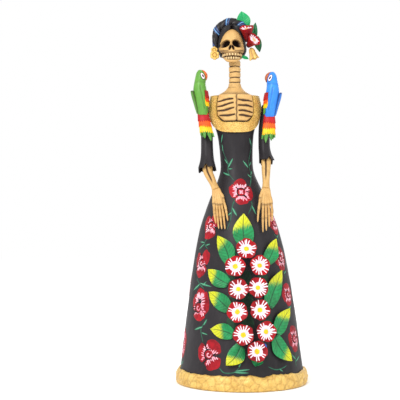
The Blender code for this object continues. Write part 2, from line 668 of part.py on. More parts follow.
def make_skull(parent, paint):
    lower = [SKULL[0], SKULL[1], SKULL[2]]
    upper = [skull_at(SKULL[2][0] + (SKULL[-1][0] - SKULL[2][0]) * i / 11) for i in range(1, 12)]
    skull = add_object("skull", skin(skull_rings(lower + upper, 0.0)), paint["bone"], parent)

    near, far = JAW_RADII
    rings = []
    for k in range(15):
        share = -1 + 2 * k / 14
        turn = math.radians(JAW_REACH * share)
        facing = Vector((math.sin(turn), -math.cos(turn), 0))
        bottom = JAW_CHIN + (0.0056 * abs(share) ** 1.8)
        taper = 1 - 0.25 * abs(share) ** 2
        corners = ((near, JAW_TOP), (near, bottom + 0.0006), (near + 0.001, bottom),
                   (far - 0.0016, bottom), (far * taper + near * (1 - taper), bottom + 0.0018),
                   (far * taper + near * (1 - taper), JAW_TOP))
        rings.append([JAW_MIDDLE + facing * reach + Vector((0, 0, h)) for reach, h in corners])
    jaw = add_object("jaw", skin(rings), None, parent)
    combine(skull, jaw, "UNION")

    bore_rings = [oval(Vector((0, 0, h)), HEAD_WIRE + GAP, HEAD_WIRE + GAP, 12) for h in (-0.001, 0.0105)]
    bore = add_object("head_wire_bore", skin(bore_rings), None, parent)
    combine(skull, bore, "DIFFERENCE")
    return skull


def make_hair(parent, paint):
    """A cap of hair over the skull, open over the face, and a braid laid over it as a crown."""
    cap = [skull_at(0.0045 + (0.0340 - 0.0045) * i / 9) for i in range(10)] + [skull_at(0.0360)]
    outer = skull_rings(cap, HAIR_THICKNESS + GAP)
    outer[-1] = [p + Vector((0, 0, 0.0022)) for p in outer[-1]]
    hair = add_object("hair", skin(outer), paint["hair"], parent)

    hollow_stations = [skull_at(0.0033 + (0.0360 - 0.0033) * i / 10) for i in range(11)]
    hollow_rings = skull_rings(hollow_stations, GAP)
    hollow_rings[-1] = [p + Vector((0, 0, GAP)) for p in hollow_rings[-1]]
    hollow = add_object("skull_clearance", skin(hollow_rings), None, parent)
    combine(hair, hollow, "DIFFERENCE")

    window_rings = []
    for y in (-0.030, -0.0020):
        ring = []
        for k in range(28):
            turn = 2 * math.pi * k / 28
            ring.append(Vector((-0.0025 + 0.0150 * math.copysign(abs(math.sin(turn)) ** 0.87, math.sin(turn)),
                                y, 0.0130 + 0.0215 * math.cos(turn))))
        window_rings.append(ring)
    window = add_object("face_window", skin(window_rings), None, parent)
    combine(hair, window, "DIFFERENCE")

    path = [BRAID_MIDDLE + Vector((-BRAID_SWEEP, 0, -0.0110))]
    for k in range(9):
        turn = math.radians(-90 + 168 * k / 8)
        path.append(BRAID_MIDDLE + Vector((BRAID_SWEEP * math.sin(turn), 0, BRAID_SWEEP * math.cos(turn))))
    radii = [BRAID_RADIUS * 0.72] + [BRAID_RADIUS] * 8 + [BRAID_RADIUS * 0.75]
    add_object("braid", skin(tube_rings(path, radii, 12, 20)), paint["hair"], parent)


def make_head_trimmings(parent, paint):
    for i, (foot, rim, radius) in enumerate(HEAD_FLOWERS):
        add_object(f"head_flower_{i + 1}", trumpet(foot, rim, radius), paint["crimson"], parent)
    for i, (base, tip, half_width) in enumerate(HEAD_LEAVES):
        run = (tip - base).normalized()
        across = run.cross(Vector((0, 1, 0))).normalized()
        grids = []
        for depth in (-HEAD_LEAF_THICKNESS / 2, HEAD_LEAF_THICKNESS / 2):
            rows = []
            for k in range(9):
                place = base.lerp(tip, k / 8)
                width = half_width * leaf_share(k / 8)
                row = [place + across * width * s + Vector((0, depth, 0)) for s in (-1, -0.5, 0, 0.5, 1)]
                rows.append(row)
            grids.append(rows)
        add_object(f"head_leaf_{i + 1}", slab(*grids), paint["leaf"], parent)

    discs = []
    for middle, outline in (ROSETTE, ROSETTE_BUD):
        turns = [2 * math.pi * k / 14 for k in range(14)]
        discs.append([
            [middle + Vector((radius * math.sin(t), -depth, radius * math.cos(t))) for t in turns]
            for depth, radius in outline
        ])
    earring = add_object("earring_left", skin(discs[0]), paint["gold"], parent)
    upper = add_object("earring_bud", skin(discs[1]), None, parent)
    combine(earring, upper, "UNION")

    rings = [oval(BELL_TOP.lerp(BELL_BOTTOM, share), radius, radius * 0.8, 14)
             for share, radius in BELL_OUTLINE]
    add_object("earring_right", skin(rings), paint["gold"], parent)


def make_head_wire(parent, paint):
    path = [Vector((0, 0, 0.0100)), Vector((0, 0, 0.0)), Vector((0, 0, -0.0120)),
            Vector((0, 0, HEAD_WIRE_TIP))]
    rings = tube_rings(path, [HEAD_WIRE] * 4, 12, 8)
    add_object("head_wire", skin(rings), paint["wire"], parent)


def pivot(name):
    """An empty on the neck's axis, at its top, for what turns and lifts there."""
    made = bpy.data.objects.new(name, None)
    bpy.context.scene.collection.objects.link(made)
    made.location = (-LEAN, 0, NECK_TOP)
    return made


def main():
    for old in list(bpy.data.objects):
        bpy.data.objects.remove(old)
    paint = {
        "charcoal": material("charcoal_paint", (0.026, 0.023, 0.026), 0.55),
        "card": material("grey_card", (0.30, 0.24, 0.17), 0.90),
        "gold": material("gold_paint", (0.66, 0.44, 0.12), 0.45),
        "bone": material("bone_paint", (0.66, 0.45, 0.20), 0.60),
        "crimson": material("crimson_paint", (0.45, 0.006, 0.012), 0.45),
        "leaf": material("leaf_paint", (0.010, 0.33, 0.11), 0.50),
        "green": material("parrot_green", (0.13, 0.38, 0.045), 0.50),
        "blue": material("parrot_blue", (0.035, 0.27, 0.80), 0.50),
        "red": material("feather_red", (0.60, 0.010, 0.020), 0.50),
        "orange": material("feather_orange", (0.85, 0.20, 0.010), 0.50),
        "beak": material("beak_orange", (0.62, 0.13, 0.015), 0.50),
        "hair": material("hair_black", (0.016, 0.015, 0.020), 0.45),
        "wire": material("iron_wire", (0.20, 0.20, 0.21), 0.40, metallic=1.0),
    }
    shell = make_gown(paint)
    make_yoke(paint)
    make_rib_cage(paint)
    make_neck(paint)
    make_arms(shell, paint)
    for colour in PARROTS:
        make_parrot(colour, paint)
    make_bouquet(paint)
    make_head_wire(pivot("stem_pivot"), paint)
    head = pivot("head_pivot")
    make_skull(head, paint)
    make_hair(head, paint)
    make_head_trimmings(head, paint)


main()
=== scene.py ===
import math
import random

import bmesh
import bpy
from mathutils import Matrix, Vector, noise


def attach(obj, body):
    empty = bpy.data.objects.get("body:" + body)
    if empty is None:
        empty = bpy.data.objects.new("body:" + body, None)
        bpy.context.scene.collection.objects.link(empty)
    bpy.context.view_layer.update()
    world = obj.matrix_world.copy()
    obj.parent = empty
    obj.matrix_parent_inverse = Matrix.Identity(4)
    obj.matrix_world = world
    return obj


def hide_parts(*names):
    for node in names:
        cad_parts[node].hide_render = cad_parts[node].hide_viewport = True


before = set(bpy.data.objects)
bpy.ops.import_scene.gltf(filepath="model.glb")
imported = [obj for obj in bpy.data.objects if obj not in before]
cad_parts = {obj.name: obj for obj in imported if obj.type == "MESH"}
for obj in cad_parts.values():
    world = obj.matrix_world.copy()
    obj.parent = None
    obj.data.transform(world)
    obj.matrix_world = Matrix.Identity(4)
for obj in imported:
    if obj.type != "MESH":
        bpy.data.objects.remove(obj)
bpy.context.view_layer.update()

MM = 0.001
TURN = 2 * math.pi
GLUE_GAP = 0.0004  # pieces glued to the gown stand this far off it
NO_TIP = 9.0  # a leaf without a yellow tip
BRUSH_DEPTH = 0.0006  # how deep the paint's brush marks are at full relief

# The gown's outline, as in the part's source: half-width at each height, and depth compared with width
GOWN_TOP = 0.329
LEAN, LEAN_HEIGHT = 0.0075, 0.300
GOWN_PROFILE = (
    (0.000, 0.0722), (0.072, 0.0633), (0.125, 0.0555), (0.172, 0.0462), (0.205, 0.0347), (0.238, 0.0204),
    (0.255, 0.0187), (0.284, 0.0209), (0.300, 0.0255), (0.315, 0.0280), (0.329, 0.0255),
)
GOWN_DEPTH = ((0.0, 1.0), (0.12, 0.97), (0.20, 0.93), (0.25, 0.85), (0.31, 0.64), (0.34, 0.64))
NECK_TOP = 0.371
HEAD = Vector((-LEAN, 0, NECK_TOP))

# The bouquet: (degrees round from the front, height) of each flower's foot, and of each leaf's base and tip;
# then the leaf's half-width, and how far along it its yellow tip starts
FLOWERS = (
    (4.0, 0.1510), (-6.7, 0.1320), (15.7, 0.1330), (-4.3, 0.1080), (12.6, 0.1095),
    (-5.2, 0.0840), (13.1, 0.0860), (-0.9, 0.0600), (17.3, 0.0630), (9.1, 0.0425),
)
FLOWER_LENGTHS = (0.0165, 0.0185)
FLOWER_RADIUS = 0.0115
LEAVES = (
    ((4.9, 0.1560), (4.5, 0.1900), 0.0108, 0.62), ((-14.0, 0.1376), (-28.5, 0.1663), 0.0088, 0.70),
    ((-15.5, 0.1148), (-37.4, 0.1295), 0.0088, 0.66), ((-14.0, 0.0871), (-34.3, 0.1054), 0.0088, 0.66),
    ((-10.0, 0.0606), (-30.6, 0.0656), 0.0084, 0.55), ((-3.0, 0.0490), (-15.1, 0.0277), 0.0090, 0.58),
    ((30.0, 0.1373), (45.5, 0.1626), 0.0088, 0.66), ((26.5, 0.0897), (45.6, 0.1281), 0.0096, 0.66),
    ((33.0, 0.0605), (50.2, 0.0863), 0.0092, 0.62), ((31.0, 0.0570), (44.4, 0.0299), 0.0096, 0.72),
    ((10.2, 0.0370), (9.2, 0.0270), 0.0062, NO_TIP),
)
LEAF_LIFT = 0.0060
LEAF_GRID = (48, 40)

# Painted roses on the gown: (degrees round from the front, height, radius, which kind)
ROSES = (
    (5.1, 0.2170, 0.0138, 0), (-48.1, 0.1789, 0.0140, 3), (64.9, 0.1822, 0.0132, 4),
    (-56.0, 0.1369, 0.0145, 3), (58.8, 0.1420, 0.0138, 4), (-51.2, 0.0912, 0.0170, 2),
    (60.9, 0.1018, 0.0132, 4), (-34.2, 0.0375, 0.0160, 1), (61.8, 0.0528, 0.0150, 4),
    (-100.0, 0.1120, 0.0150, 1), (-84.0, 0.0450, 0.0160, 2), (100.0, 0.0800, 0.0150, 3),
    (104.0, 0.1500, 0.0140, 1), (-140.0, 0.0800, 0.0160, 3), (180.0, 0.0500, 0.0165, 1),
    (140.0, 0.0450, 0.0160, 2), (150.0, 0.1200, 0.0150, 1), (-160.0, 0.1450, 0.0145, 2),
    (-112.0, 0.1750, 0.0135, 0), (172.0, 0.2050, 0.0130, 0),
)
# Each kind of rose, in its own radii: its petals as (x, y, half-width, half-height, turn) and its heart
ROSE_KINDS = (
    (((0.02, 0.66, 0.55, 0.42, 0.0), (-0.64, 0.08, 0.38, 0.56, 0.1), (0.66, -0.08, 0.38, 0.56, 0.1),
      (-0.03, -0.68, 0.55, 0.38, 0.0)), (0.0, 0.0, 0.33)),
    (((0.30, 0.54, 0.64, 0.48, -0.5), (-0.58, 0.10, 0.38, 0.62, 0.1), (0.34, -0.56, 0.64, 0.48, 0.25)),
     (-0.02, 0.04, 0.34)),
    (((-0.05, 0.70, 0.42, 0.34, 0.0), (0.46, 0.08, 0.38, 0.72, 0.1), (-0.52, 0.10, 0.34, 0.56, 0.0),
      (0.00, -0.70, 0.60, 0.36, 0.0)), (-0.12, -0.20, 0.33)),
    (((0.36, 0.40, 0.50, 0.64, -0.3), (-0.50, 0.16, 0.40, 0.64, 0.1), (0.00, -0.60, 0.68, 0.44, 0.3)),
     (0.0, 0.02, 0.30)),
    (((0.0, 0.56, 0.58, 0.42, 0.0), (-0.50, -0.04, 0.40, 0.58, 0.0), (0.50, 0.04, 0.40, 0.58, 0.0),
      (0.0, -0.60, 0.52, 0.40, 0.0)), (0.0, 0.0, 0.34)),
)


# Curves and the gown's surface -----------------------------------------------------------------------
def spline(points, at):
    """One smooth curve through (place, value) points, read at a place."""
    last = len(points) - 1
    at = min(max(at, points[0][0]), points[last][0])
    i = 0
    while i < last - 1 and points[i + 1][0] <= at:
        i += 1
    low, high = points[max(i - 1, 0)], points[min(i + 2, last)]
    (start, value), (end, next_value) = points[i], points[i + 1]
    span = end - start
    slope = (next_value - low[1]) / (end - low[0]) * span
    next_slope = (high[1] - value) / (high[0] - start) * span
    t = (at - start) / span
    rise = 3 * t**2 - 2 * t**3
    return (
        (1 - rise) * value + rise * next_value
        + (t**3 - 2 * t**2 + t) * slope + (t**3 - t**2) * next_slope
    )


def along(points, share):
    """The point at a share of the way through evenly numbered points, on one smooth curve."""
    numbered = [[(i, p[axis]) for i, p in enumerate(points)] for axis in range(len(points[0]))]
    return [spline(values, share * (len(points) - 1)) for values in numbered]


def bell(distance, width):
    """A smooth bump: 1 at no distance, falling away over the width."""
    return math.exp(-((distance / width) ** 2))


def rough(place, size, seed=0.0):
    """Smooth noise from -1 to 1 with lumps of about that size."""
    return noise.noise(Vector(place) / size + Vector((seed, seed * 1.7, -seed)))


def polar(turn, reach):
    return Vector((math.cos(turn), math.sin(turn))) * reach


def level_at(turn):
    """The level direction that far round from the front."""
    return Vector((math.sin(turn), -math.cos(turn), 0))


def surface(rows, columns, at, around=False):
    """Asks at(share down, share across) all over a grid; each part of its answers comes back as a grid."""
    count = columns if around else columns + 1
    grid = [[at(r / rows, c / columns) for c in range(count)] for r in range(rows + 1)]
    return [[[answer[part] for answer in row] for row in grid] for part in range(len(grid[0][0]))]


def gown_girth(height):
    """The gown's half-width, half-depth and lean to one side at a height."""
    width = spline(GOWN_PROFILE, height)
    return width, width * spline(GOWN_DEPTH, height), LEAN * min(1.0, height / LEAN_HEIGHT) ** 2


def gown_skin(angle, height):
    width, depth, lean = gown_girth(height)
    return Vector((width * math.sin(angle) - lean, -depth * math.cos(angle), height))


def gown_plain(angle, height, out=0.0):
    """A point that far outside the gown's smooth outline."""
    step = 0.0005
    round_step = gown_skin(angle + step, height) - gown_skin(angle - step, height)
    up_step = gown_skin(angle, min(height + step, GOWN_TOP)) - gown_skin(angle, max(height - step, 0))
    return gown_skin(angle, height) + round_step.cross(up_step).normalized() * out


def gown_place(angle, height, out=0.0):
    """A point that far outside the gown's hand-laid paper surface."""
    base = gown_skin(angle, height)
    lumps = 0.00035 * rough(base, 0.028) + 0.00012 * rough(base, 0.009, 5.0)
    return gown_plain(angle, height, out + lumps)


def on_gown(degrees, height):
    """Maps (across, up, out) distances from a spot on the gown to places in space."""

    def place(across, up, out):
        level = min(max(height + up, 0.001), GOWN_TOP)
        return gown_place(math.radians(degrees) + across / spline(GOWN_PROFILE, level), level, out)

    return place


# Gathering points and faces --------------------------------------------------------------------------
class Shape:
    """The points and faces of one piece, with how dark (dark paint and painted shade) and how tinted (second
    paint and painted highlight) the paint is at each point.
    """

    def __init__(self):
        self.places = []
        self.faces = []
        self.slots = []
        self.dark_paint_and_shade = []
        self.tint_and_highlight = []

    def rows(self, grid, dark_paint_and_shade=None, tint_and_highlight=None):
        """Adds a grid of points and returns their numbers."""
        numbers = []
        for r, row in enumerate(grid):
            line = []
            for c, place in enumerate(row):
                line.append(len(self.places))
                self.places.append(place)
                self.dark_paint_and_shade.append(dark_paint_and_shade[r][c] if dark_paint_and_shade else 0.0)
                self.tint_and_highlight.append(tint_and_highlight[r][c] if tint_and_highlight else 0.0)
            numbers.append(line)
        return numbers

    def face(self, corners, slot=0):
        self.faces.append(tuple(corners))
        self.slots.append(slot)

    def web(self, numbers, around, slot=0):
        """Faces over a grid of numbered points, closed round each row if around is true."""
        for low, high in zip(numbers, numbers[1:]):
            count = len(low)
            for k in range(count if around else count - 1):
                after = (k + 1) % count
                self.face((low[k], low[after], high[after], high[k]), slot)

    def lid(self, ring, slot=0):
        """A fan over a ring of numbered points."""
        middle = sum((self.places[n] for n in ring), Vector()) / len(ring)
        hub = len(self.places)
        self.places.append(middle)
        self.dark_paint_and_shade.append(sum(self.dark_paint_and_shade[n] for n in ring) / len(ring))
        self.tint_and_highlight.append(sum(self.tint_and_highlight[n] for n in ring) / len(ring))
        for k, number in enumerate(ring):
            self.face((number, ring[(k + 1) % len(ring)], hub), slot)

    def loft(self, rings, slot=0, dark_paint_and_shade=None, tint_and_highlight=None):
        """A closed solid over rings of places."""
        numbers = self.rows(rings, dark_paint_and_shade, tint_and_highlight)
        self.web(numbers, True, slot)
        self.lid(numbers[0], slot)
        self.lid(numbers[-1], slot)

    def plate(self, front, back, slot=0, dark_paint_and_shade=None, tint_and_highlight=None):
        """A closed plate between two grids of places of the same size."""
        near = self.rows(front, dark_paint_and_shade, tint_and_highlight)
        far = self.rows(back, dark_paint_and_shade, tint_and_highlight)
        self.web(near, False, slot)
        self.web(far, False, slot)
        for low, high in ((near[0], far[0]), (near[-1], far[-1])):
            self.web([low, high], False, slot)
        for side in (0, -1):
            self.web([[row[side] for row in near], [row[side] for row in far]], False, slot)

    def skin(self, rows, columns, at, slot=0):
        """A closed plate; at(down, across) gives its front, its back, and then how dark it is (dark paint and
        painted shade) and its tint (second paint and painted highlight).
        """
        front, back, *paint = surface(rows, columns, at)
        self.plate(front, back, slot, *paint)

    def turned(self, rows, sides, at, slot=0):
        """A closed solid of rings; at(up, around) gives a place, and then how dark it is (dark paint and
        painted shade) and its tint (second paint and painted highlight).
        """
        rings, *paint = surface(rows, sides, at, True)
        self.loft(rings, slot, *paint)

    def stroke(self, place, points, width, thick=0.00022, slot=0, base=0.0, ends=(0.15, 0.15), tint_and_highlight=0.0,
               point=0.5):
        """A brush stroke along a smooth 2-D path on a surface, narrowing towards its ends: to round ends
        where point is 0.5, and to sharp ones where it is 1."""
        length = sum((Vector(b) - Vector(a)).length for a, b in zip(points, points[1:]))
        steps = max(8, min(48, int(length / 0.0006)))
        rings = []
        for i in range(steps + 1):
            t = i / steps
            here = Vector(along(points, t))
            ahead = Vector(along(points, min(t + 0.02, 1.0))) - Vector(along(points, max(t - 0.02, 0.0)))
            side = Vector((-ahead.y, ahead.x)).normalized()
            full = min(1.0, (t + 0.001) / max(ends[0], 0.001), (1.001 - t) / max(ends[1], 0.001))
            half = width / 2 * (full * (2 - full)) ** point + 0.00002
            ring = []
            for share, rise in ((-1.0, 0.0), (-0.6, 0.85), (0.0, 1.0), (0.6, 0.85), (1.0, 0.0), (0.0, -0.6)):
                spot = here + side * half * share
                ring.append(place(spot.x, spot.y, base + thick * rise * (0.4 + 0.6 * full)))
            rings.append(ring)
        shade = [[tint_and_highlight] * 6 for _ in rings]
        self.loft(rings, slot, tint_and_highlight=shade)

    def patch(self, place, outline, thick=0.00022, slot=0, base=0.0, rim_tint=0.0):
        """A filled dab of paint inside a closed 2-D outline, tinted towards its rim."""
        middle = sum((Vector(p) for p in outline), Vector((0, 0))) / len(outline)
        rings = []
        for share, rise in ((1.0, -0.5), (1.0, 0.1), (0.9, 0.85), (0.6, 1.0), (0.3, 1.0)):
            ring = []
            for p in outline:
                spot = middle.lerp(Vector(p), share)
                ring.append(place(spot.x, spot.y, base + thick * rise))
            rings.append(ring)
        shade = [[rim_tint * strength] * len(outline) for strength in (1.0, 1.0, 0.8, 0.25, 0.0)]
        self.loft(rings, slot, tint_and_highlight=shade)

    def make(self, name, body, finishes, slot, nodes=()):
        """The finished piece: faces turned out, shaded smooth, riding on its body."""
        mesh = bpy.data.meshes.new(name)
        mesh.from_pydata([tuple(p) for p in self.places], [], self.faces)
        for finish in finishes:
            mesh.materials.append(finish)
        mesh.polygons.foreach_set("material_index", self.slots)
        for label, values in (("dark_paint_and_shade", self.dark_paint_and_shade), ("tint_and_highlight", self.tint_and_highlight)):
            mesh.attributes.new(label, "FLOAT", "POINT").data.foreach_set("value", values)
        bm = bmesh.new()
        bm.from_mesh(mesh)
        bmesh.ops.recalc_face_normals(bm, faces=bm.faces)
        bm.to_mesh(mesh)
        bm.free()
        mesh.shade_smooth()
        mesh.set_sharp_from_angle(angle=math.radians(50))
        piece = bpy.data.objects.new(name, mesh)
        bpy.context.scene.collection.objects.link(piece)
        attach(piece, body)
        if nodes:
            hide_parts(*nodes)
        return piece


def circle(middle, across, up, count, wobble=0.0, seed=0.0, turn=0.0):
    """A closed 2-D outline: an oval with a hand-painted wobble, turned by an angle."""
    points = []
    for k in range(count):
        t = TURN * k / count
        size = 1 + wobble * noise.noise(Vector((math.cos(t) * 1.5, math.sin(t) * 1.5, seed)))
        x, y = across * math.cos(t) * size, up * math.sin(t) * size
        points.append((
            middle[0] + x * math.cos(turn) - y * math.sin(turn),
            middle[1] + x * math.sin(turn) + y * math.cos(turn),
        ))
    return points


def tube_rings(path, radius_at, sides, steps):
    """Rings round a smooth path; radius_at(share, angle) gives the radius."""
    places = [Vector(along(path, i / steps)) for i in range(steps + 1)]
    rings = []
    for i, middle in enumerate(places):
        ahead = (places[min(i + 1, steps)] - places[max(i - 1, 0)]).normalized()
        side = ahead.cross(Vector((0, 1, 0))).normalized()
        up = side.cross(ahead)
        ring = []
        for k in range(sides):
            t = TURN * k / sides
            ring.append(middle + (side * math.cos(t) + up * math.sin(t)) * radius_at(i / steps, t))
        rings.append(ring)
    return rings


# Paint -----------------------------------------------------------------------------------------------
def srgb(red, green, blue):
    """A colour as it looks on screen, 0 to 255, as the shader wants it."""
    return tuple(
        (c / 255 / 12.92) if c / 255 <= 0.04045 else ((c / 255 + 0.055) / 1.055) ** 2.4
        for c in (red, green, blue)
    ) + (1.0,)


def feed(tree, socket, value):
    """Links a socket to an output, or sets it to a plain value."""
    if hasattr(value, "links"):
        tree.links.new(value, socket)
    else:
        socket.default_value = value


def add_node(tree, kind, output, **inputs):
    made = tree.nodes.new(kind)
    for key, value in inputs.items():
        feed(tree, made.inputs[key.replace("_", " ")], value)
    return made.outputs[output]


def calculate(tree, operation, *values):
    made = tree.nodes.new("ShaderNodeMath")
    made.operation = operation
    for socket, value in zip(made.inputs, values):
        feed(tree, socket, value)
    return made.outputs[0]


def mix_colours(tree, factor, first, second):
    made = tree.nodes.new("ShaderNodeMix")
    made.data_type = "RGBA"
    for number, value in ((0, factor), (6, first), (7, second)):
        feed(tree, made.inputs[number], value)
    return made.outputs[2]


def spread(tree, value, low, high, out_low=0.0, out_high=1.0):
    return add_node(tree, "ShaderNodeMapRange", "Result", Value=value, From_Min=low, From_Max=high,
                    To_Min=out_low, To_Max=out_high)


def blotches(tree, where, scale, detail, roughness=0.5):
    return add_node(tree, "ShaderNodeTexNoise", "Fac", Vector=where, Scale=scale, Detail=detail,
                    Roughness=roughness)


def point_value(tree, label):
    """What the mesh says at each point, under that name."""
    made = tree.nodes.new("ShaderNodeAttribute")
    made.attribute_name = label
    return made.outputs["Fac"]


def hand_paint(name, colour, shade, roughness=(0.40, 0.60), grain=70.0, stretch=(1, 1, 1), relief=0.25,
               dark_paint_and_shade=None, tint_and_highlight=None, tint_edge=(0.45, 0.55), metallic=0.0, coat=0.0, specular=0.35,
               smudge=0.0):
    """Brushed-on craft paint: two tones in uneven strokes, a dark colour where the piece asks for it (dark
    painted lines, and painted shade in hollows, creases and gaps), and a second colour where the piece's tint
    says (a second paint, and on the hair and the ribbon a painted highlight), over a slightly rough ground."""
    colour, shade = srgb(*colour), srgb(*shade)
    dark_paint_and_shade, tint_and_highlight = (srgb(*rgb) if rgb else None for rgb in (dark_paint_and_shade, tint_and_highlight))
    made = bpy.data.materials.new(name)
    made.use_nodes = True
    tree = made.node_tree
    shader = tree.nodes["Principled BSDF"]
    where = tree.nodes.new("ShaderNodeTexCoord").outputs["Object"]
    stretched = add_node(tree, "ShaderNodeMapping", "Vector", Vector=where, Scale=stretch)
    strokes = blotches(tree, stretched, grain, 5.0, 0.62)
    broad = blotches(tree, where, grain * 0.22, 2.0)
    fine = blotches(tree, stretched, grain * 9, 3.0, 0.7)
    tones = spread(tree, calculate(tree, "ADD", strokes, broad), 0.72, 1.28)
    paint = mix_colours(tree, tones, colour, shade)
    # The second colour: a second paint, and on the hair and the ribbon a painted highlight
    if tint_and_highlight:
        ragged = calculate(tree, "MULTIPLY_ADD", strokes, 0.35, point_value(tree, "tint_and_highlight"))
        tinted = spread(tree, ragged, tint_edge[0] + 0.17, tint_edge[1] + 0.17)
        paint = mix_colours(tree, tinted, paint, tint_and_highlight)
    if smudge:
        blots = blotches(tree, where, grain * 1.3, 4.0, 0.7)
        paint = mix_colours(tree, spread(tree, blots, 0.52, 0.74, 0.0, smudge), paint, dark_paint_and_shade)
    # The dark colour: dark painted lines, and painted shade in hollows, creases and gaps
    if dark_paint_and_shade:
        paint = mix_colours(tree, spread(tree, point_value(tree, "dark_paint_and_shade"), 0.08, 0.85), paint, dark_paint_and_shade)
    height = calculate(tree, "MULTIPLY_ADD", fine, 0.35, strokes)
    bump = add_node(tree, "ShaderNodeBump", "Normal", Strength=relief, Distance=BRUSH_DEPTH, Height=height)
    for socket, value in (
        ("Base Color", paint),
        ("Roughness", spread(tree, strokes, 0.3, 0.7, *roughness)),
        ("Normal", bump),
        ("Metallic", metallic),
        ("Coat Weight", coat),
        ("Coat Roughness", 0.25),
        ("Specular IOR Level", specular),
    ):
        feed(tree, shader.inputs[socket], value)
    return made


# Each paint: its two tones, its roughness, how fine its strokes are, and what else sets it apart
# A paint's dark colour goes where the piece asks: for dark painted lines, and for painted shade in hollows,
# creases and gaps
PAINTS = {
    "charcoal": ((44, 40, 43), (27, 24, 27), (0.42, 0.60), 60,
                 {"stretch": (1, 1, 0.3), "relief": 0.35, "specular": 0.22}),
    "gold": ((230, 196, 112), (210, 166, 82), (0.34, 0.52), 260,
             {"relief": 0.7, "dark_paint_and_shade": (140, 94, 36), "metallic": 0.10, "smudge": 0.30}),
    "bone": ((206, 168, 106), (184, 140, 80), (0.48, 0.66), 130,
             {"relief": 0.35, "dark_paint_and_shade": (50, 23, 10), "smudge": 0.26, "tint_and_highlight": (16, 9, 7),
              "tint_edge": (0.30, 0.62)}),
    "socket": ((20, 10, 7), (9, 5, 4), (0.6, 0.8), 200, {"specular": 0.04}),
    "ivory": ((226, 200, 148), (200, 164, 106), (0.38, 0.55), 260, {"dark_paint_and_shade": (90, 50, 24)}),
    "crimson": ((170, 4, 20), (112, 2, 12), (0.40, 0.56), 170, {"dark_paint_and_shade": (46, 1, 5), "specular": 0.22}),
    "white": ((236, 226, 230), (226, 204, 214), (0.45, 0.6), 320,
              {"tint_and_highlight": (226, 172, 192), "tint_edge": (0.35, 1.0)}),
    "peach": ((232, 190, 140), (222, 150, 100), (0.45, 0.6), 420, {}),
    "yellow": ((238, 206, 18), (226, 160, 12), (0.45, 0.6), 420,
               {"relief": 0.6, "tint_and_highlight": (206, 206, 40), "tint_edge": (0.3, 0.9)}),
    "leaf": ((16, 150, 82), (7, 108, 54), (0.38, 0.55), 210,
             {"relief": 0.35, "dark_paint_and_shade": (2, 52, 28), "tint_and_highlight": (196, 198, 16), "tint_edge": (0.34, 0.62),
              "coat": 0.08}),
    "bright_leaf": ((16, 158, 90), (10, 134, 74), (0.38, 0.5), 120, {"relief": 0.2, "dark_paint_and_shade": (4, 72, 40)}),
    "dark_leaf": ((10, 104, 56), (5, 68, 36), (0.38, 0.55), 150, {"dark_paint_and_shade": (2, 34, 18)}),
    "undergrowth": ((8, 62, 34), (4, 26, 16), (0.5, 0.65), 150, {}),
    "painted_red": ((170, 14, 30), (110, 5, 18), (0.42, 0.60), 260, {"specular": 0.22}),
    "painted_pink": ((238, 206, 214), (214, 104, 132), (0.45, 0.6), 300, {}),
    "painted_black": ((20, 12, 18), (10, 7, 9), (0.45, 0.6), 200, {"specular": 0.2}),
    "vine": ((30, 104, 76), (14, 62, 44), (0.45, 0.6), 260,
             {"tint_and_highlight": (88, 160, 124), "tint_edge": (0.3, 0.8)}),
    "parrot_green": ((96, 152, 56), (72, 128, 42), (0.40, 0.56), 130,
                     {"stretch": (1, 1, 0.5), "dark_paint_and_shade": (54, 66, 22), "coat": 0.06}),
    "parrot_blue": ((52, 138, 224), (30, 104, 200), (0.40, 0.56), 130,
                    {"stretch": (1, 1, 0.5), "dark_paint_and_shade": (14, 50, 116), "coat": 0.06}),
    "red": ((178, 8, 20), (136, 4, 14), (0.42, 0.58), 160, {}),
    "orange": ((222, 92, 10), (200, 56, 6), (0.42, 0.58), 160, {}),
    "sunny": ((236, 198, 8), (228, 156, 6), (0.42, 0.58), 160, {}),
    "tip_green": ((92, 152, 58), (56, 122, 42), (0.42, 0.58), 160, {"dark_paint_and_shade": (24, 66, 20)}),
    "beak_orange": ((214, 106, 22), (176, 66, 14), (0.36, 0.5), 180, {"dark_paint_and_shade": (110, 30, 8), "coat": 0.15}),
    "beak_brown": ((182, 98, 50), (146, 64, 30), (0.36, 0.5), 180, {"dark_paint_and_shade": (84, 30, 12), "coat": 0.15}),
    # The hair's dark colour is painted shade between strands, and its second colour a painted highlight
    "hair": ((40, 35, 36), (20, 17, 19), (0.32, 0.5), 120,
             {"relief": 0.4, "dark_paint_and_shade": (8, 7, 8), "tint_and_highlight": (84, 74, 76), "tint_edge": (0.6, 1.0),
              "specular": 0.3}),
    # The ribbon's second colour is a painted highlight
    "ribbon": ((34, 52, 104), (20, 28, 62), (0.32, 0.46), 160,
               {"tint_and_highlight": (108, 168, 214), "tint_edge": (0.35, 0.75), "coat": 0.1}),
    "wire": ((120, 120, 124), (84, 82, 84), (0.30, 0.46), 300, {"relief": 0.2, "metallic": 0.9}),
    "card": ((166, 140, 104), (138, 112, 80), (0.8, 0.95), 90, {"relief": 0.5}),
    "blue_dab": ((40, 110, 200), (24, 80, 170), (0.4, 0.55), 300, {}),
}


def make_paints():
    return {name: hand_paint(name, *look[:4], **look[4]) for name, look in PAINTS.items()}


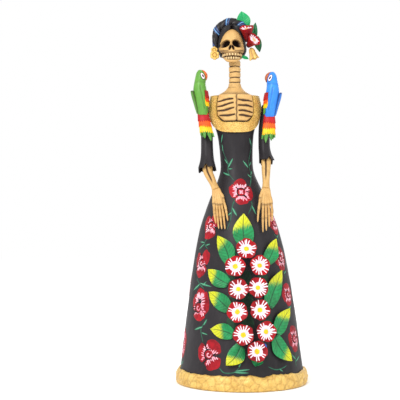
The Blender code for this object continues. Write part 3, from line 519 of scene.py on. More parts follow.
# Gown ------------------------------------------------------------------------------------------------
def make_gown(paint):
    around, up, inner_up = 150, 120, 12
    wall, roof = 0.0024, 0.0026
    turns = [TURN * k / around for k in range(around)]

    def levelled(row, height):
        return [Vector((p.x, p.y, height)) for p in row]

    inner, outer = [], []
    for i in range(inner_up + 1):
        height = (GOWN_TOP - roof) * i / inner_up
        inner.append(levelled([gown_plain(t, height, -wall) for t in turns], height))
    for i in range(up + 1):
        height = GOWN_TOP * i / up
        row = [gown_place(t, height) for t in turns]
        if i in (0, up):
            row = levelled(row, height)
        outer.append([Vector((p.x, p.y, max(p.z, 0.0))) for p in row])
    shape = Shape()
    shape.loft(inner[::-1] + outer)
    shape.make("gown", "figure", [paint["charcoal"]], "charcoal_paint", ["gown_shell"])


def cells(place, size, seed=0.0):
    """How far a point is into a pinched lump, from 0 on the seam between lumps to 1 in a lump's middle."""
    near = noise.voronoi(Vector(place) / size + Vector((seed, seed, seed)))[0]
    return min(1.0, (near[1] - near[0]) * 1.6)


def make_hem(paint):
    """The gold band round the hem, pinched by hand into uneven lumps."""
    around, outline = 420, 22
    height_of_band, bulge, gap = 0.0165, 0.0046, 0.0004
    shape = Shape()
    rings, dark_paint_and_shade_rows = [], []
    for k in range(around):
        turn = TURN * k / around
        edge = Vector((math.cos(turn), math.sin(turn), 0)) * 0.075
        top = height_of_band * (0.98 + 0.12 * rough(edge, 0.014) + 0.06 * rough(edge, 0.005, 3.0))
        swell = 1 + 0.20 * rough(edge, 0.012, 7.0)
        ring, dark_paint_and_shade = [], []
        for i in range(outline):
            lap = math.pi * i / (outline - 1)
            share = 0.5 - 0.5 * math.cos(lap)
            out = gap + (bulge * swell - gap) * math.sin(lap) ** 0.55
            height = top * share
            spot = gown_plain(turn, height, out)
            pinch = cells(spot, 0.0085, 2.0)
            small = cells(spot, 0.0019, 9.0)
            drop = (0.0008 * (pinch - 0.75) + 0.0005 * (small - 0.6)) * math.sin(lap)
            spot = gown_plain(turn, height, out + min(drop, 0.0003))
            ring.append(Vector((spot.x, spot.y, max(height, 0.0))))
            # Darker in the seams between the pinched lumps: painted shade in the creases
            dark_paint_and_shade.append(max(0.0, 0.7 - 2.2 * pinch) * 0.5 + max(0.0, 0.6 - 1.6 * small) * 0.42)
        # The band's inner side against the gown, darkened with painted shade
        for share in (0.66, 0.33):
            spot = gown_plain(turn, top * share, gap)
            ring.append(Vector((spot.x, spot.y, top * share)))
            dark_paint_and_shade.append(0.6)
        rings.append(ring)
        dark_paint_and_shade_rows.append(dark_paint_and_shade)
    numbers = shape.rows(rings, dark_paint_and_shade_rows)
    shape.web(numbers + [numbers[0]], True)
    shape.make("hem_band", "figure", [paint["gold"]], "gold_paint", ["hem_trim"])


# The front neckline's inner and outer edges: (degrees round from the front, height), down to its middle
YOKE_TOP = 0.3285
YOKE_INSIDE = ((-47.6, YOKE_TOP), (-47.6, 0.316), (-46.6, 0.3053), (-33.0, 0.2986), (0.0, 0.2979))
YOKE_OUTSIDE = ((-84.0, YOKE_TOP), (-84.0, 0.312), (-79.0, 0.2975), (-46.0, 0.2880), (0.0, 0.2858))


def front_band(down, across):
    """The angle and height of a place on the front of the neckline, from the chest opening out."""
    near, far = (along(half + tuple((-a, h) for a, h in half[-2::-1]), across)
                 for half in (YOKE_INSIDE, YOKE_OUTSIDE))
    return math.radians(near[0] + (far[0] - near[0]) * down), near[1] + (far[1] - near[1]) * down


def back_band(down, across):
    turn = -1 + 2 * across
    bottom = 0.296 + 0.008 * turn**2
    return math.radians(180 + 74 * turn), YOKE_TOP + (bottom - YOKE_TOP) * down


def make_yoke_half(name, node, band, columns, seed, paint):
    """Half of the neckline, stamped all over with small curled lumps."""
    thick = 0.0029

    def stamped(down, across):
        angle, height = band(down, across)
        edge = min(down, 1 - down)
        spot = gown_plain(angle, height)
        slant = Vector((spot.x + 0.7 * spot.z, spot.y, 1.7 * spot.z - 0.5 * spot.x))
        lump = cells(slant, 0.0024, seed)
        twirl = cells(spot, 0.0013, seed + 4)
        rim = 0.0006 * bell(edge, 0.05) if edge > 0 else 0.0
        body = thick * min(1.0, 0.35 + (edge / 0.09) ** 0.5) if edge < 0.06 else thick
        relief = (0.0005 * (lump - 0.8) + 0.00030 * (twirl - 0.6)) * min(1.0, edge / 0.06)
        # Darker in the seams between the stamped lumps: painted shade in the creases
        dark = 0.55 * max(0.0, 0.8 - 1.8 * lump) + 0.35 * max(0.0, 0.6 - 1.5 * twirl)
        return gown_plain(angle, height, body + relief + rim), gown_plain(angle, height, GLUE_GAP), dark

    shape = Shape()
    shape.skin(38, columns, stamped)
    shape.make(name, "figure", [paint["gold"]], "gold_paint", [node])


def make_yoke(paint):
    make_yoke_half("yoke_gold_front", "yoke_front", front_band, 270, 1.0, paint)
    make_yoke_half("yoke_gold_back", "yoke_back", back_band, 220, 6.0, paint)


# The gaps between the ribs: x and height of the inner end, then of the outer end
RIB_LINES = (
    (-0.0105, 0.3240, -0.0262, 0.3214), (-0.0102, 0.3190, -0.0266, 0.3156),
    (-0.0096, 0.3134, -0.0266, 0.3104), (-0.0088, 0.3062, -0.0246, 0.3048),
    (-0.0036, 0.3236, 0.0106, 0.3208), (-0.0036, 0.3172, 0.0112, 0.3152),
    (-0.0034, 0.3108, 0.0112, 0.3094), (-0.0028, 0.3052, 0.0102, 0.3050),
)
BREASTBONE = -0.0061


def rib_relief(spot):
    """How deep the gap between two ribs is at a place on the chest, from 0 to 1."""
    deepest = 0.0
    for number, (inner_x, inner_z, outer_x, outer_z) in enumerate(RIB_LINES):
        t = (spot.x - inner_x) / (outer_x - inner_x)
        inside = min(max(t, 0.0), 1.0)
        line = inner_z + (outer_z - inner_z) * inside + 0.0005 * math.sin(inside * math.pi * 1.5 + number)
        miss = math.hypot(spot.z - line, (t - inside) * abs(outer_x - inner_x))
        width = 0.00062 + 0.00050 * math.sin(math.pi * inside) + 0.00030 * (1 - inside)
        width *= 1 + 0.3 * rough(spot, 0.0035, number)
        deepest = max(deepest, bell(miss, width))
    return deepest


def make_ribs(paint):
    half_angle, top = math.radians(46.6), 0.3290

    def chest(down, across):
        turn = -1 + 2 * across
        bottom = 0.2984 + 0.0075 * max(0.0, (abs(turn) - 0.62) / 0.38) ** 1.3
        height = top + (bottom - top) * down
        spot = gown_plain(half_angle * turn, height)
        gap = rib_relief(spot)
        border = bell(min(1 - abs(turn), (1 - down) * 0.8), 0.035)
        wander = 0.0003 * math.sin(height * 900)
        bone = bell(spot.x - BREASTBONE - wander, 0.0015)
        seam = bell(spot.x - BREASTBONE - wander, 0.0006)
        relief = -0.0014 * gap - 0.0009 * border - 0.0006 * seam - 0.0004 * bone
        relief += 0.00015 * rough(spot, 0.004)
        return (gown_plain(half_angle * turn, height, 0.0022 + relief),
                gown_plain(half_angle * turn, height, GLUE_GAP),
                min(1.0, 1.1 * gap + 0.95 * border + 0.30 * bone + 0.50 * seam))

    shape = Shape()
    shape.skin(120, 160, chest)
    shape.make("ribs", "figure", [paint["bone"]], "bone_paint", ["rib_cage"])


# (height, half-width, half-depth)
NECK_OUTLINE = (
    (0.3288, 0.0198, 0.0137), (0.3312, 0.0180, 0.0128), (0.3345, 0.0125, 0.0115), (0.3390, 0.0084, 0.0084),
    (0.3430, 0.0070, 0.0070), (0.3500, 0.0067, 0.0067), (0.3564, 0.0068, 0.0068), (0.3632, 0.0067, 0.0067),
    (0.3690, 0.0066, 0.0066), (0.3703, 0.0060, 0.0060), (NECK_TOP, 0.0048, 0.0048),
)
NECK_LINES = (0.3636, 0.3568, 0.3505, 0.3446)


def make_neck(paint):
    """Stacked vertebrae: ringed by lines that dip and waver, over a collar that spreads to the shoulders."""
    sides, steps, bore = 72, 150, 0.0017
    widths = [(h, w) for h, w, _ in NECK_OUTLINE]
    depths = [(h, d) for h, _, d in NECK_OUTLINE]
    bottom = NECK_OUTLINE[0][0]

    def bone(up, around):
        height = bottom + (NECK_TOP - bottom) * up
        turn = TURN * around
        spot = level_at(turn) * 0.007 + Vector((0, 0, height))
        line = max(bell(height - h - 0.0007 * rough(spot, 0.006, h * 900), 0.00060) for h in NECK_LINES)
        # Darker in patches along the crease at the collar's top, and towards the collar's foot
        collar_crease = 0.8 * bell(height - 0.3388 - 0.0012 * rough(spot, 0.004, 2.0), 0.0006)
        collar_crease *= max(0.0, rough(spot, 0.003, 8.0) + 0.3)
        lower = 0.55 * bell(height - 0.3310, 0.0028) * (0.6 + 0.4 * rough(spot, 0.004, 4.0))
        out = -0.0008 * line - 0.0003 * collar_crease + 0.00018 * rough(spot, 0.0030)
        across, deep = spline(widths, height) + out, spline(depths, height) + out
        place = Vector((-LEAN + across * math.sin(turn), -deep * math.cos(turn), height))
        return place, min(1.0, line + collar_crease + lower)

    rings, dark_paint_and_shade_rows = surface(steps, sides, bone, True)
    # Down the bore, darker the deeper it goes: painted shade inside the hole
    for height, dark in ((NECK_TOP, 0.3), (0.3600, 0.8), (0.3440, 0.8)):
        middle = Vector((-LEAN, 0, height))
        rings.append([middle + level_at(TURN * k / sides) * bore for k in range(sides)])
        dark_paint_and_shade_rows.append([dark] * sides)
    shape = Shape()
    shape.loft(rings, dark_paint_and_shade=dark_paint_and_shade_rows)
    shape.make("neck_bones", "figure", [paint["bone"]], "bone_paint", ["neck"])


# Arms ------------------------------------------------------------------------------------------------
# Each sleeve's line from shoulder to cuff with its radius, each forearm's line, and each hand's knuckles,
# half-width and fingertips from the thumb out
SLEEVES = {
    "left": (
        ((-0.0435, 0.003, 0.316), 0.0060), ((-0.0423, 0.003, 0.304), 0.0067),
        ((-0.0403, 0.001, 0.290), 0.0069), ((-0.0398, -0.004, 0.270), 0.0069),
        ((-0.0395, -0.008, 0.256), 0.0077), ((-0.0392, -0.013, 0.2436), 0.0104),
    ),
    "right": (
        ((0.0293, 0.003, 0.316), 0.0060), ((0.0284, 0.003, 0.304), 0.0067),
        ((0.0268, 0.001, 0.290), 0.0067), ((0.0263, -0.002, 0.272), 0.0066),
        ((0.0270, -0.0045, 0.262), 0.0072), ((0.0283, -0.008, 0.253), 0.0090),
    ),
}
FOREARMS = {
    "left": ((-0.0395, -0.0095, 0.2520), (-0.0390, -0.0138, 0.2420), (-0.0345, -0.0205, 0.2310),
             (-0.0300, -0.0275, 0.2195)),
    "right": ((0.0272, -0.0052, 0.2600), (0.0281, -0.0092, 0.2505), (0.0275, -0.0175, 0.2360),
              (0.0266, -0.0258, 0.2205)),
}
FOREARM_WIDTHS = ((0.0, 0.0052), (0.25, 0.0056), (0.55, 0.0049), (0.82, 0.0040), (1.0, 0.0044))
FINGER = (
    (0.0, 0.0022), (0.25, 0.0020), (0.48, 0.0021), (0.60, 0.0014), (0.74, 0.0015), (0.86, 0.0011),
    (0.96, 0.0009), (1.0, 0.0004),
)
HANDS = {
    "left": ((-0.0266, -0.0330, 0.2045), 0.0056,
             ((-0.0169, -0.0415, 0.1845), (-0.0200, -0.0425, 0.1753), (-0.0236, -0.0430, 0.1752),
              (-0.0270, -0.0430, 0.1758), (-0.0302, -0.0420, 0.1815))),
    "right": ((0.0262, -0.0320, 0.2045), 0.0060,
              ((0.0164, -0.0400, 0.1832), (0.0222, -0.0410, 0.1719), (0.0259, -0.0410, 0.1737),
               (0.0293, -0.0405, 0.1779), (0.0325, -0.0395, 0.1842))),
}


def clear_of_gown(spot):
    """Moves a place on a sleeve out to where it lies against the neckline."""
    keep_out, armpit = 0.0036, 0.284
    if spot.z <= armpit:
        return spot
    wide, deep, lean = gown_girth(min(spot.z, GOWN_TOP))
    across = spot.x + lean
    reach = math.hypot(across / (wide + keep_out), spot.y / (deep + keep_out))
    return Vector((across / reach - lean, spot.y / reach, spot.z)) if reach < 1.0 else spot


def make_sleeve(side, paint):
    """A tube of stiff black cloth with a few long folds and a torn, flaring cuff."""
    path = [p for p, _ in SLEEVES[side]]
    radii = [(r,) for _, r in SLEEVES[side]]
    sides, steps, wall = 60, 46, 0.0013
    cap_rows, cap_height = 9, 0.0056
    seed = 1.0 if side == "left" else 4.0
    down = (Vector(path[-1]) - Vector(path[-2])).normalized()
    up = (Vector(path[0]) - Vector(path[1])).normalized()

    def radius_at(share, turn):
        fold = 0.05 * math.sin(3 * turn + 4 * share + seed) + 0.03 * math.sin(7 * turn + seed * 2)
        return along(radii, share)[0] * (1 + fold * (0.25 + 0.9 * share**3))

    def tube(inset):
        rings = tube_rings(path, lambda share, turn: radius_at(share, turn) - inset, sides, steps)
        for i, ring in enumerate(rings):
            tear = 0.0026 * (max(0.0, i / steps - 0.8) / 0.2) ** 1.5
            for k, spot in enumerate(ring):
                turn = TURN * k / sides
                rag = 0.55 * math.sin(5 * turn + seed) + 0.45 * math.sin(9 * turn + 2 * seed)
                ring[k] = clear_of_gown(spot + down * tear * rag)
        return rings

    outer = tube(0.0)
    inner = tube(wall)
    middle = sum(outer[0], Vector()) / sides
    cap = []
    for k in range(1, cap_rows):
        lap = math.pi / 2 * k / cap_rows
        rise = up * cap_height * math.cos(lap)
        cap.append([middle + (p - middle) * math.sin(lap) + rise for p in outer[0]])
    shape = Shape()
    shape.loft(cap + outer + inner[:0:-1])
    shape.make(f"sleeve_cloth_{side}", "figure", [paint["charcoal"]], "charcoal_paint", [f"sleeve_{side}"])


def make_forearm(side, paint):
    """Two bones laid side by side, modelled as one piece with a dark groove between them."""
    sides, steps = 48, 60
    front_groove, back_groove = 4.55, 1.4

    def groove(share, turn):
        facing = max(bell(math.atan2(math.sin(turn - at), math.cos(turn - at)), 0.34)
                     for at in (front_groove, back_groove))
        return facing * min(1.0, max(0.0, (share - 0.12) / 0.1)) * min(1.0, max(0.0, (0.93 - share) / 0.25))

    def radius_at(share, turn):
        lumps = 1 + 0.03 * math.sin(9 * share + 3 * turn)
        return spline(FOREARM_WIDTHS, share) * lumps * (1 - 0.30 * groove(share, turn))

    def shade(share, around):
        # Darker in the groove between the bones, and painted shade at the elbow end where it comes out from
        # under the sleeve
        return (min(1.0, 1.1 * groove(share, TURN * around) ** 2 + bell(share - 0.1, 0.06)),)

    shape = Shape()
    rings = tube_rings(FOREARMS[side], radius_at, sides, steps)
    shape.loft(rings, 0, *surface(steps, sides, shade, True))
    shape.make(f"forearm_bones_{side}", "figure", [paint["bone"]], "bone_paint", [f"forearm_{side}"])


def finger_radius(share, turn):
    return spline(FINGER, share) * (1 + 0.06 * math.sin(3 * turn + 20 * share))


def make_hand(side, paint):
    """A bony hand: five rays from the wrist that swell at the joints, with sunken gaps between them darkened
    by painted shade.
    """
    knuckles, half_width, tips = HANDS[side]
    knuckles = Vector(knuckles)
    inward = 1 if side == "left" else -1
    wrist = Vector(FOREARMS[side][-1]) + Vector((0, 0.0004, 0.0012))
    sides, steps = 16, 44
    shape = Shape()
    for k, tip in enumerate(tips):
        share = 1 - 2 * k / 4
        thumb = k == 0
        start = wrist + Vector((inward * 0.0024 * share, 0, 0))
        ball = knuckles + Vector((inward * half_width * share, 0.0006, -0.001 * (1 - abs(share))))
        if thumb:
            ball = wrist.lerp(knuckles, 0.62) + Vector((inward * half_width * 0.98, 0.0008, 0))
        middle = ball.lerp(Vector(tip), 0.48) + Vector((inward * 0.0006 * share, -0.0010, 0))
        path = [start, start.lerp(ball, 0.5) + Vector((0, -0.0004, 0)), ball, middle, Vector(tip)]
        dark_paint_and_shade = [[0.55 * bell(i / steps - 0.53, 0.03) + 0.35 * bell(i / steps - 0.78, 0.02)] * sides
                for i in range(steps + 1)]
        shape.loft(tube_rings(path, finger_radius, sides, steps), dark_paint_and_shade=dark_paint_and_shade)

    def palm(t, across):
        s = -1 + 2 * across
        width = 0.0030 + (half_width * 0.98 - 0.0030) * t**0.8
        spot = wrist.lerp(knuckles, t * 0.98) + Vector((inward * width * s, 0, -0.0012 * t * (1 - s * s)))
        ridge = 0.5 + 0.5 * math.cos(TURN * s * 2)
        front = spot + Vector((0, -0.0010 - 0.0006 * ridge, 0))
        # Painted shade in the gaps between the rays
        return front, spot + Vector((0, 0.0012, 0)), 0.7 * (1 - ridge) * min(1.0, 0.2 + t)

    shape.skin(16, 20, palm)
    shape.make(f"hand_bones_{side}", "figure", [paint["bone"]], "bone_paint", [f"hand_{side}"])


# Bouquet ---------------------------------------------------------------------------------------------
# Outlines of the two kinds of trumpet flower up to the rim, as (share of length, share of radius), and how
# far up the first kind's face is at each share of its radius
TRUMPET = (
    (0.0, 0.22), (0.30, 0.25), (0.58, 0.42), (0.80, 0.72), (0.93, 0.93), (0.985, 1.0), (1.015, 0.985),
)
TRUMPET_FRONT = ((0.0, 0.885), (0.20, 0.88), (0.45, 0.905), (0.75, 0.955), (0.93, 1.005), (0.985, 1.015))
FAT_TRUMPET = (
    (0.0, 0.34), (0.22, 0.44), (0.48, 0.56), (0.74, 0.76), (0.93, 0.96), (0.985, 1.0), (1.015, 0.985),
)


def star_face(shape, place, radius, spin, seed, draw):
    """A white eye with a yellow middle, and white strokes in pairs that fan out from it."""
    eye, pairs = radius * draw.uniform(0.50, 0.56), 6
    shape.patch(place, circle((0, 0), eye, eye * 0.94, 44, 0.22, seed), 0.00030, 1, rim_tint=0.75)
    for k in range(pairs):
        turn = spin + TURN * (k + draw.uniform(-0.15, 0.15)) / pairs
        for side in (-1, 1):
            lean = turn + side * draw.uniform(0.12, 0.19)
            start, end = polar(lean, 0.44 * radius), polar(lean, radius * draw.uniform(0.84, 0.99))
            shape.stroke(place, [start, (start + end) / 2, end], radius * draw.uniform(0.095, 0.13), 0.00034,
                         1, 0.00002, ends=(0.1, 0.16))
        if draw.random() < 0.5:
            lean = turn + math.pi / pairs
            ends = [polar(lean, 0.4 * radius), polar(lean, radius * draw.uniform(0.66, 0.86))]
            shape.stroke(place, ends, radius * 0.11, 0.00034, 1, 0.00002, ends=(0.1, 0.2))
    middle = radius * draw.uniform(0.24, 0.28)
    shape.patch(place, circle((0, 0), middle, middle * 0.92, 28, 0.22, seed + 3), 0.00085, 2, rim_tint=0.6)


def ragged_face(shape, place, radius, seed, draw):
    """A ragged white eye with a peach middle, for the flowers in the hair."""
    eye, middle, count = radius * 0.60, radius * 0.28, 11
    shape.patch(place, circle((0, 0), eye, eye * 0.8, 36, 0.35, seed), 0.00030, 1, rim_tint=0.9)
    for k in range(count):
        turn = TURN * k / count + draw.uniform(-0.15, 0.15)
        ends = [polar(turn, radius * 0.45), polar(turn + 0.1, radius * draw.uniform(0.66, 0.86))]
        shape.stroke(place, ends, radius * 0.15, 0.00034, 1, 0.00002, ends=(0.2, 0.35))
    shape.patch(place, circle((0, 0), middle, middle * 1.2, 20, 0.3, seed + 3), 0.0007, 2)


def make_trumpet(name, body, foot, rim, radius, seed, paint, node, starred=True, lobes=5):
    """A trumpet flower with a lobed, rolled rim and a painted face."""
    draw = random.Random(seed)
    axis = (rim - foot).normalized()
    guide = Vector((0, 0, 1)) if abs(axis.z) < 0.8 else Vector((0, -1, 0))
    across = axis.cross(guide).normalized()
    up = across.cross(axis)
    length = (rim - foot).length
    spin = draw.uniform(0, TURN)
    outline = TRUMPET if starred else FAT_TRUMPET
    sides, steps = 75, 26

    def lobe(turn, share):
        wave = 0.5 - 0.5 * math.cos(lobes * (turn - spin))
        return 1 - 0.085 * share**3 * wave**1.5 + 0.012 * share * math.sin(11 * turn + seed)

    def set_out(flat, turn, rise, share):
        frill = 0.0004 * math.sin(lobes * (turn - spin)) * share**2
        return foot + across * flat[0] + up * flat[1] + axis * (rise + frill)

    def cup(share, around):
        rise, size = along(outline, share)
        turn = TURN * around
        flat = polar(turn, radius * size * lobe(turn, size))
        # Darker towards the foot: painted shade down the cup against the gown
        return set_out(flat, turn, length * rise, size), 0.9 * (1 - share) ** 2

    def face_place(u, v, out):
        turn = math.atan2(v, u)
        share = min(math.hypot(u, v) / (radius * lobe(turn, 1.0)), 0.985)
        return set_out((u, v), turn, spline(TRUMPET_FRONT, share) * length + out, share)

    rings, dark_paint_and_shade_rows = surface(steps, sides, cup, True)
    turns = [TURN * k / sides for k in range(sides)]
    for share in (0.95, 0.85, 0.7, 0.5, 0.32, 0.16):
        rings.append([face_place(*polar(t, radius * share * lobe(t, 1.0)), 0.0) for t in turns])
        dark_paint_and_shade_rows.append([0.0] * sides)
    shape = Shape()
    shape.loft(rings, dark_paint_and_shade=dark_paint_and_shade_rows)
    if starred:
        star_face(shape, face_place, radius, spin, seed, draw)
    else:
        ragged_face(shape, face_place, radius, seed, draw)
    finishes = [paint["crimson"], paint["white"], paint["yellow"] if starred else paint["peach"]]
    shape.make(name, body, finishes, "crimson_paint", [node])


def leaf_width(t):
    """How wide a leaf is at a share of its length: round at the base and drawn out to a point."""
    return max(0.03, math.sin(math.pi * min(1.0, 0.20 + 0.80 * t) ** 1.12) ** 0.85)


def leaf_at(place, half_width, thick, tip_share, seed, veins=1.0):
    """What Shape.skin asks for a leaf; place(share along, across, out) maps the leaf into space."""

    def at(t, column):
        s = -1 + 2 * column
        spot = s * half_width * leaf_width(t)
        fade = math.sin(math.pi * min(1.0, t + 0.06)) ** 0.5 if t < 0.97 else 0.1
        midrib = bell(s, 0.07)
        vein = 0.5 + 0.5 * math.cos(TURN * (t * 8.5 - abs(s) * 1.7))
        out = 0.0005 * math.sin(9 * t + 3 * s + seed) * abs(s) + 0.0011 * s * s * fade
        top = thick * (0.35 + 0.65 * (1 - s**4)) - 0.00038 * midrib + 0.00016 * (vein - 0.5) * fade
        # Darker along the midrib and in the vein grooves, and painted shade at the base where the leaf tucks
        # under
        dark_paint_and_shade = 0.75 * midrib + 0.35 * (1 - vein) ** 3 * (1 - bell(s, 0.2)) + 0.5 * (t < 0.06)
        jag = 0.06 * math.sin(TURN * (s * 5.5 + t * 2) + seed) + 0.10 * s
        jag += 0.045 * math.sin(TURN * (s * 9 + t * 4)) + 0.03 * math.sin(TURN * s * 14)
        tint_and_highlight = min(1.0, max(0.0, 0.5 + (t - tip_share + jag) * 2.2)) if tip_share < NO_TIP else 0.0
        return place(t, spot, out + top), place(t, spot, out), dark_paint_and_shade * veins, tint_and_highlight

    return at


def make_skirt_leaf(number, paint):
    base, tip, half_width, tip_share = LEAVES[number - 1]
    girth = spline(GOWN_PROFILE, (base[1] + tip[1]) / 2)
    start = Vector((math.radians(base[0]) * girth, base[1]))
    end = Vector((math.radians(tip[0]) * girth, tip[1]))
    run = (end - start).normalized()
    across = Vector((-run.y, run.x))
    bend = 0.0022 * math.sin(number * 2.4)

    def place(t, side, out):
        spot = start.lerp(end, t) + across * (side + bend * math.sin(math.pi * t))
        lift = GLUE_GAP + LEAF_LIFT * t**1.6
        return gown_place(spot.x / girth, min(spot.y, GOWN_TOP), lift + out)

    shape = Shape()
    shape.skin(*LEAF_GRID, leaf_at(place, half_width, 0.0013, tip_share, number))
    shape.make(f"skirt_leaf_{number}", "figure", [paint["leaf"]], "leaf_paint", [f"leaf_{number}"])


def make_bouquet(paint):
    for i, (degrees, height) in enumerate(FLOWERS):
        angle = math.radians(degrees)
        foot = gown_plain(angle, height, GLUE_GAP)
        rim = gown_plain(angle, height, FLOWER_LENGTHS[i % 2])
        make_trumpet(f"trumpet_{i + 1}", "figure", foot, rim, FLOWER_RADIUS, i + 11, paint, f"flower_{i + 1}")
    for number in range(1, len(LEAVES) + 1):
        make_skirt_leaf(number, paint)
    shape = Shape()
    for degrees, height, size in ((3, 0.1200, 0.009), (4, 0.0960, 0.009), (5, 0.0720, 0.009),
                                  (-14, 0.1240, 0.007), (24, 0.1200, 0.008), (24, 0.0750, 0.008),
                                  (-13, 0.0960, 0.007), (-12, 0.0720, 0.007), (16, 0.0480, 0.007)):
        shape.patch(on_gown(degrees, height), circle((0, 0), size * 0.8, size * 1.1, 24, 0.3, degrees + 0.5),
                    0.0003, 0)
    shape.make("undergrowth", "figure", [paint["undergrowth"]], "leaf_paint")
    shape = Shape()
    shape.patch(on_gown(20.5, 0.0475), circle((0, 0), 0.0018, 0.0032, 20, 0.2, 2.0), 0.0006, 0)
    shape.make("blue_bud", "figure", [paint["blue_dab"]], "blue_feathers")


# Painting on the gown --------------------------------------------------------------------------------
def petal_reach(petal, direction):
    """How far a petal's edge is from its middle in one direction."""
    wide, tall, turn = petal[2:]
    along_wide = direction.x * math.cos(turn) + direction.y * math.sin(turn)
    along_tall = -direction.x * math.sin(turn) + direction.y * math.cos(turn)
    return 1 / math.hypot(along_wide / wide, along_tall / tall)


def paint_fringe(pink, place, petal, size, draw):
    """Pale strokes that start close together at a petal's inner edge and fan out over it."""
    middle = Vector(petal[:2])
    outward = middle.normalized()
    sideways = Vector((-outward.y, outward.x))
    inner = middle - outward * petal_reach(petal, outward) * 0.84
    span = petal_reach(petal, sideways) * 0.66
    bend = 0.34 * span
    count = 7
    rim = [inner + sideways * span * t + outward * bend * t * t for t in (-0.9, -0.45, 0.0, 0.45, 0.9)]
    pink.stroke(place, [p * size for p in rim], size * 0.11, 0.00016, 0, 0.00018, ends=(0.3, 0.3))
    for j in range(count):
        t = -1 + 2 * j / (count - 1)
        start = inner + sideways * span * t + outward * bend * t * t
        reach = draw.uniform(0.20, 0.42) * (1 - 0.3 * t * t)
        end = start + outward * reach + sideways * 0.08 * t
        pink.stroke(place, [start * size, end * size], size * draw.uniform(0.09, 0.13), 0.00016, 0,
                    0.00020, ends=(0.1, 0.7), point=0.8)


def paint_rose(shapes, rose, number):
    """A rose in a few brush strokes: red petals fringed with pale strokes, and a bud ringed in black."""
    degrees, height, size, kind = rose
    draw = random.Random(number)
    place = on_gown(degrees, height)
    red, pink, black = shapes
    petals, (heart_x, heart_y, heart) = ROSE_KINDS[kind]
    for k, petal in enumerate(petals):
        outline = circle(Vector(petal[:2]) * size, petal[2] * size, petal[3] * size, 36, 0.20,
                         number * 7 + k * 3.1, petal[4])
        red.patch(place, outline, 0.00016, 0, 0.00002 * k)
        paint_fringe(pink, place, petal, size, draw)
    turns = [math.atan2(petal[1], petal[0]) for petal in petals]
    for k, turn in enumerate(turns):
        after = turns[(k + 1) % len(turns)]
        between = (Vector((math.cos(turn), math.sin(turn))) + Vector((math.cos(after), math.sin(after))))
        between = between.normalized() if between.length > 0.05 else Vector((1, 0))
        start = Vector((heart_x, heart_y)) + between * heart
        bend = start + between * 0.22 + Vector((-between.y, between.x)) * 0.06
        end = start + between * 0.44
        black.stroke(place, [start * size, bend * size, end * size], size * 0.085, 0.00016, 0, 0.00022,
                     ends=(0.2, 0.7), point=0.8)
    bud = circle((heart_x * size, heart_y * size), heart * size, heart * size * 0.92, 26, 0.15, number + 9.0)
    red.patch(place, bud, 0.00018, 0, 0.00024)
    spin = draw.uniform(0.2, 1.2)
    ring = [((heart_x + heart * 1.04 * math.cos(t)) * size, (heart_y + heart * 0.97 * math.sin(t)) * size)
            for t in (spin + 0.55 * k for k in range(10))]
    black.stroke(place, ring, size * 0.10, 0.00016, 0, 0.00030, ends=(0.25, 0.35), point=0.8)
    if kind == 0:
        for turn in (0.75, 2.35):
            arm = Vector((math.cos(turn), math.sin(turn))) * 0.2 * size
            pink.stroke(place, [-arm, arm], size * 0.13, 0.00018, 0, 0.00044, ends=(0.25, 0.25))
        return
    curl = [((heart_x + (0.03 + 0.042 * k) * math.cos(spin + 1.1 * k)) * size,
             (heart_y + (0.03 + 0.042 * k) * math.sin(spin + 1.1 * k)) * size) for k in range(6)]
    pink.stroke(place, curl, size * 0.085, 0.00018, 0, 0.00044, ends=(0.2, 0.5))


# Stems, as (degrees round from the front, height), and dabs of leaf: base, tip and width in millimetres
STEMS = (
    ((-53, 0.2720), (-53, 0.2638), (-40, 0.2545), (-34, 0.2491), (-33, 0.2400), (-10, 0.2293)),
    ((64, 0.2760), (62, 0.2690), (48, 0.2546), (47, 0.2465), (49, 0.2383), (37, 0.2291), (27, 0.2217)),
    ((-6, 0.2110), (-9, 0.2076), (-13, 0.2009), (-15, 0.1868), (-20, 0.1735)),
    ((24, 0.2068), (23, 0.2018), (13, 0.1916)),
    ((-50, 0.1657), (-56, 0.1595), (-47, 0.1525)),
    ((-63, 0.1194), (-55, 0.1135), (-47, 0.1089)),
    ((-41, 0.0732), (-46, 0.0639), (-42, 0.0496)),
    ((-23, 0.0245), (-18, 0.0197), (-9, 0.0205), (-4, 0.0265)),
    ((54, 0.1697), (61, 0.1655), (68, 0.1603)),
    ((60, 0.1287), (62, 0.1247), (63, 0.1203)),
    ((57, 0.0903), (59, 0.0881), (58, 0.0820), (60, 0.0720)),
    ((63, 0.0388), (59, 0.0302), (59, 0.0215)),
    ((22, 0.0260), (30, 0.0222), (38, 0.0232), (44, 0.0255)),
)
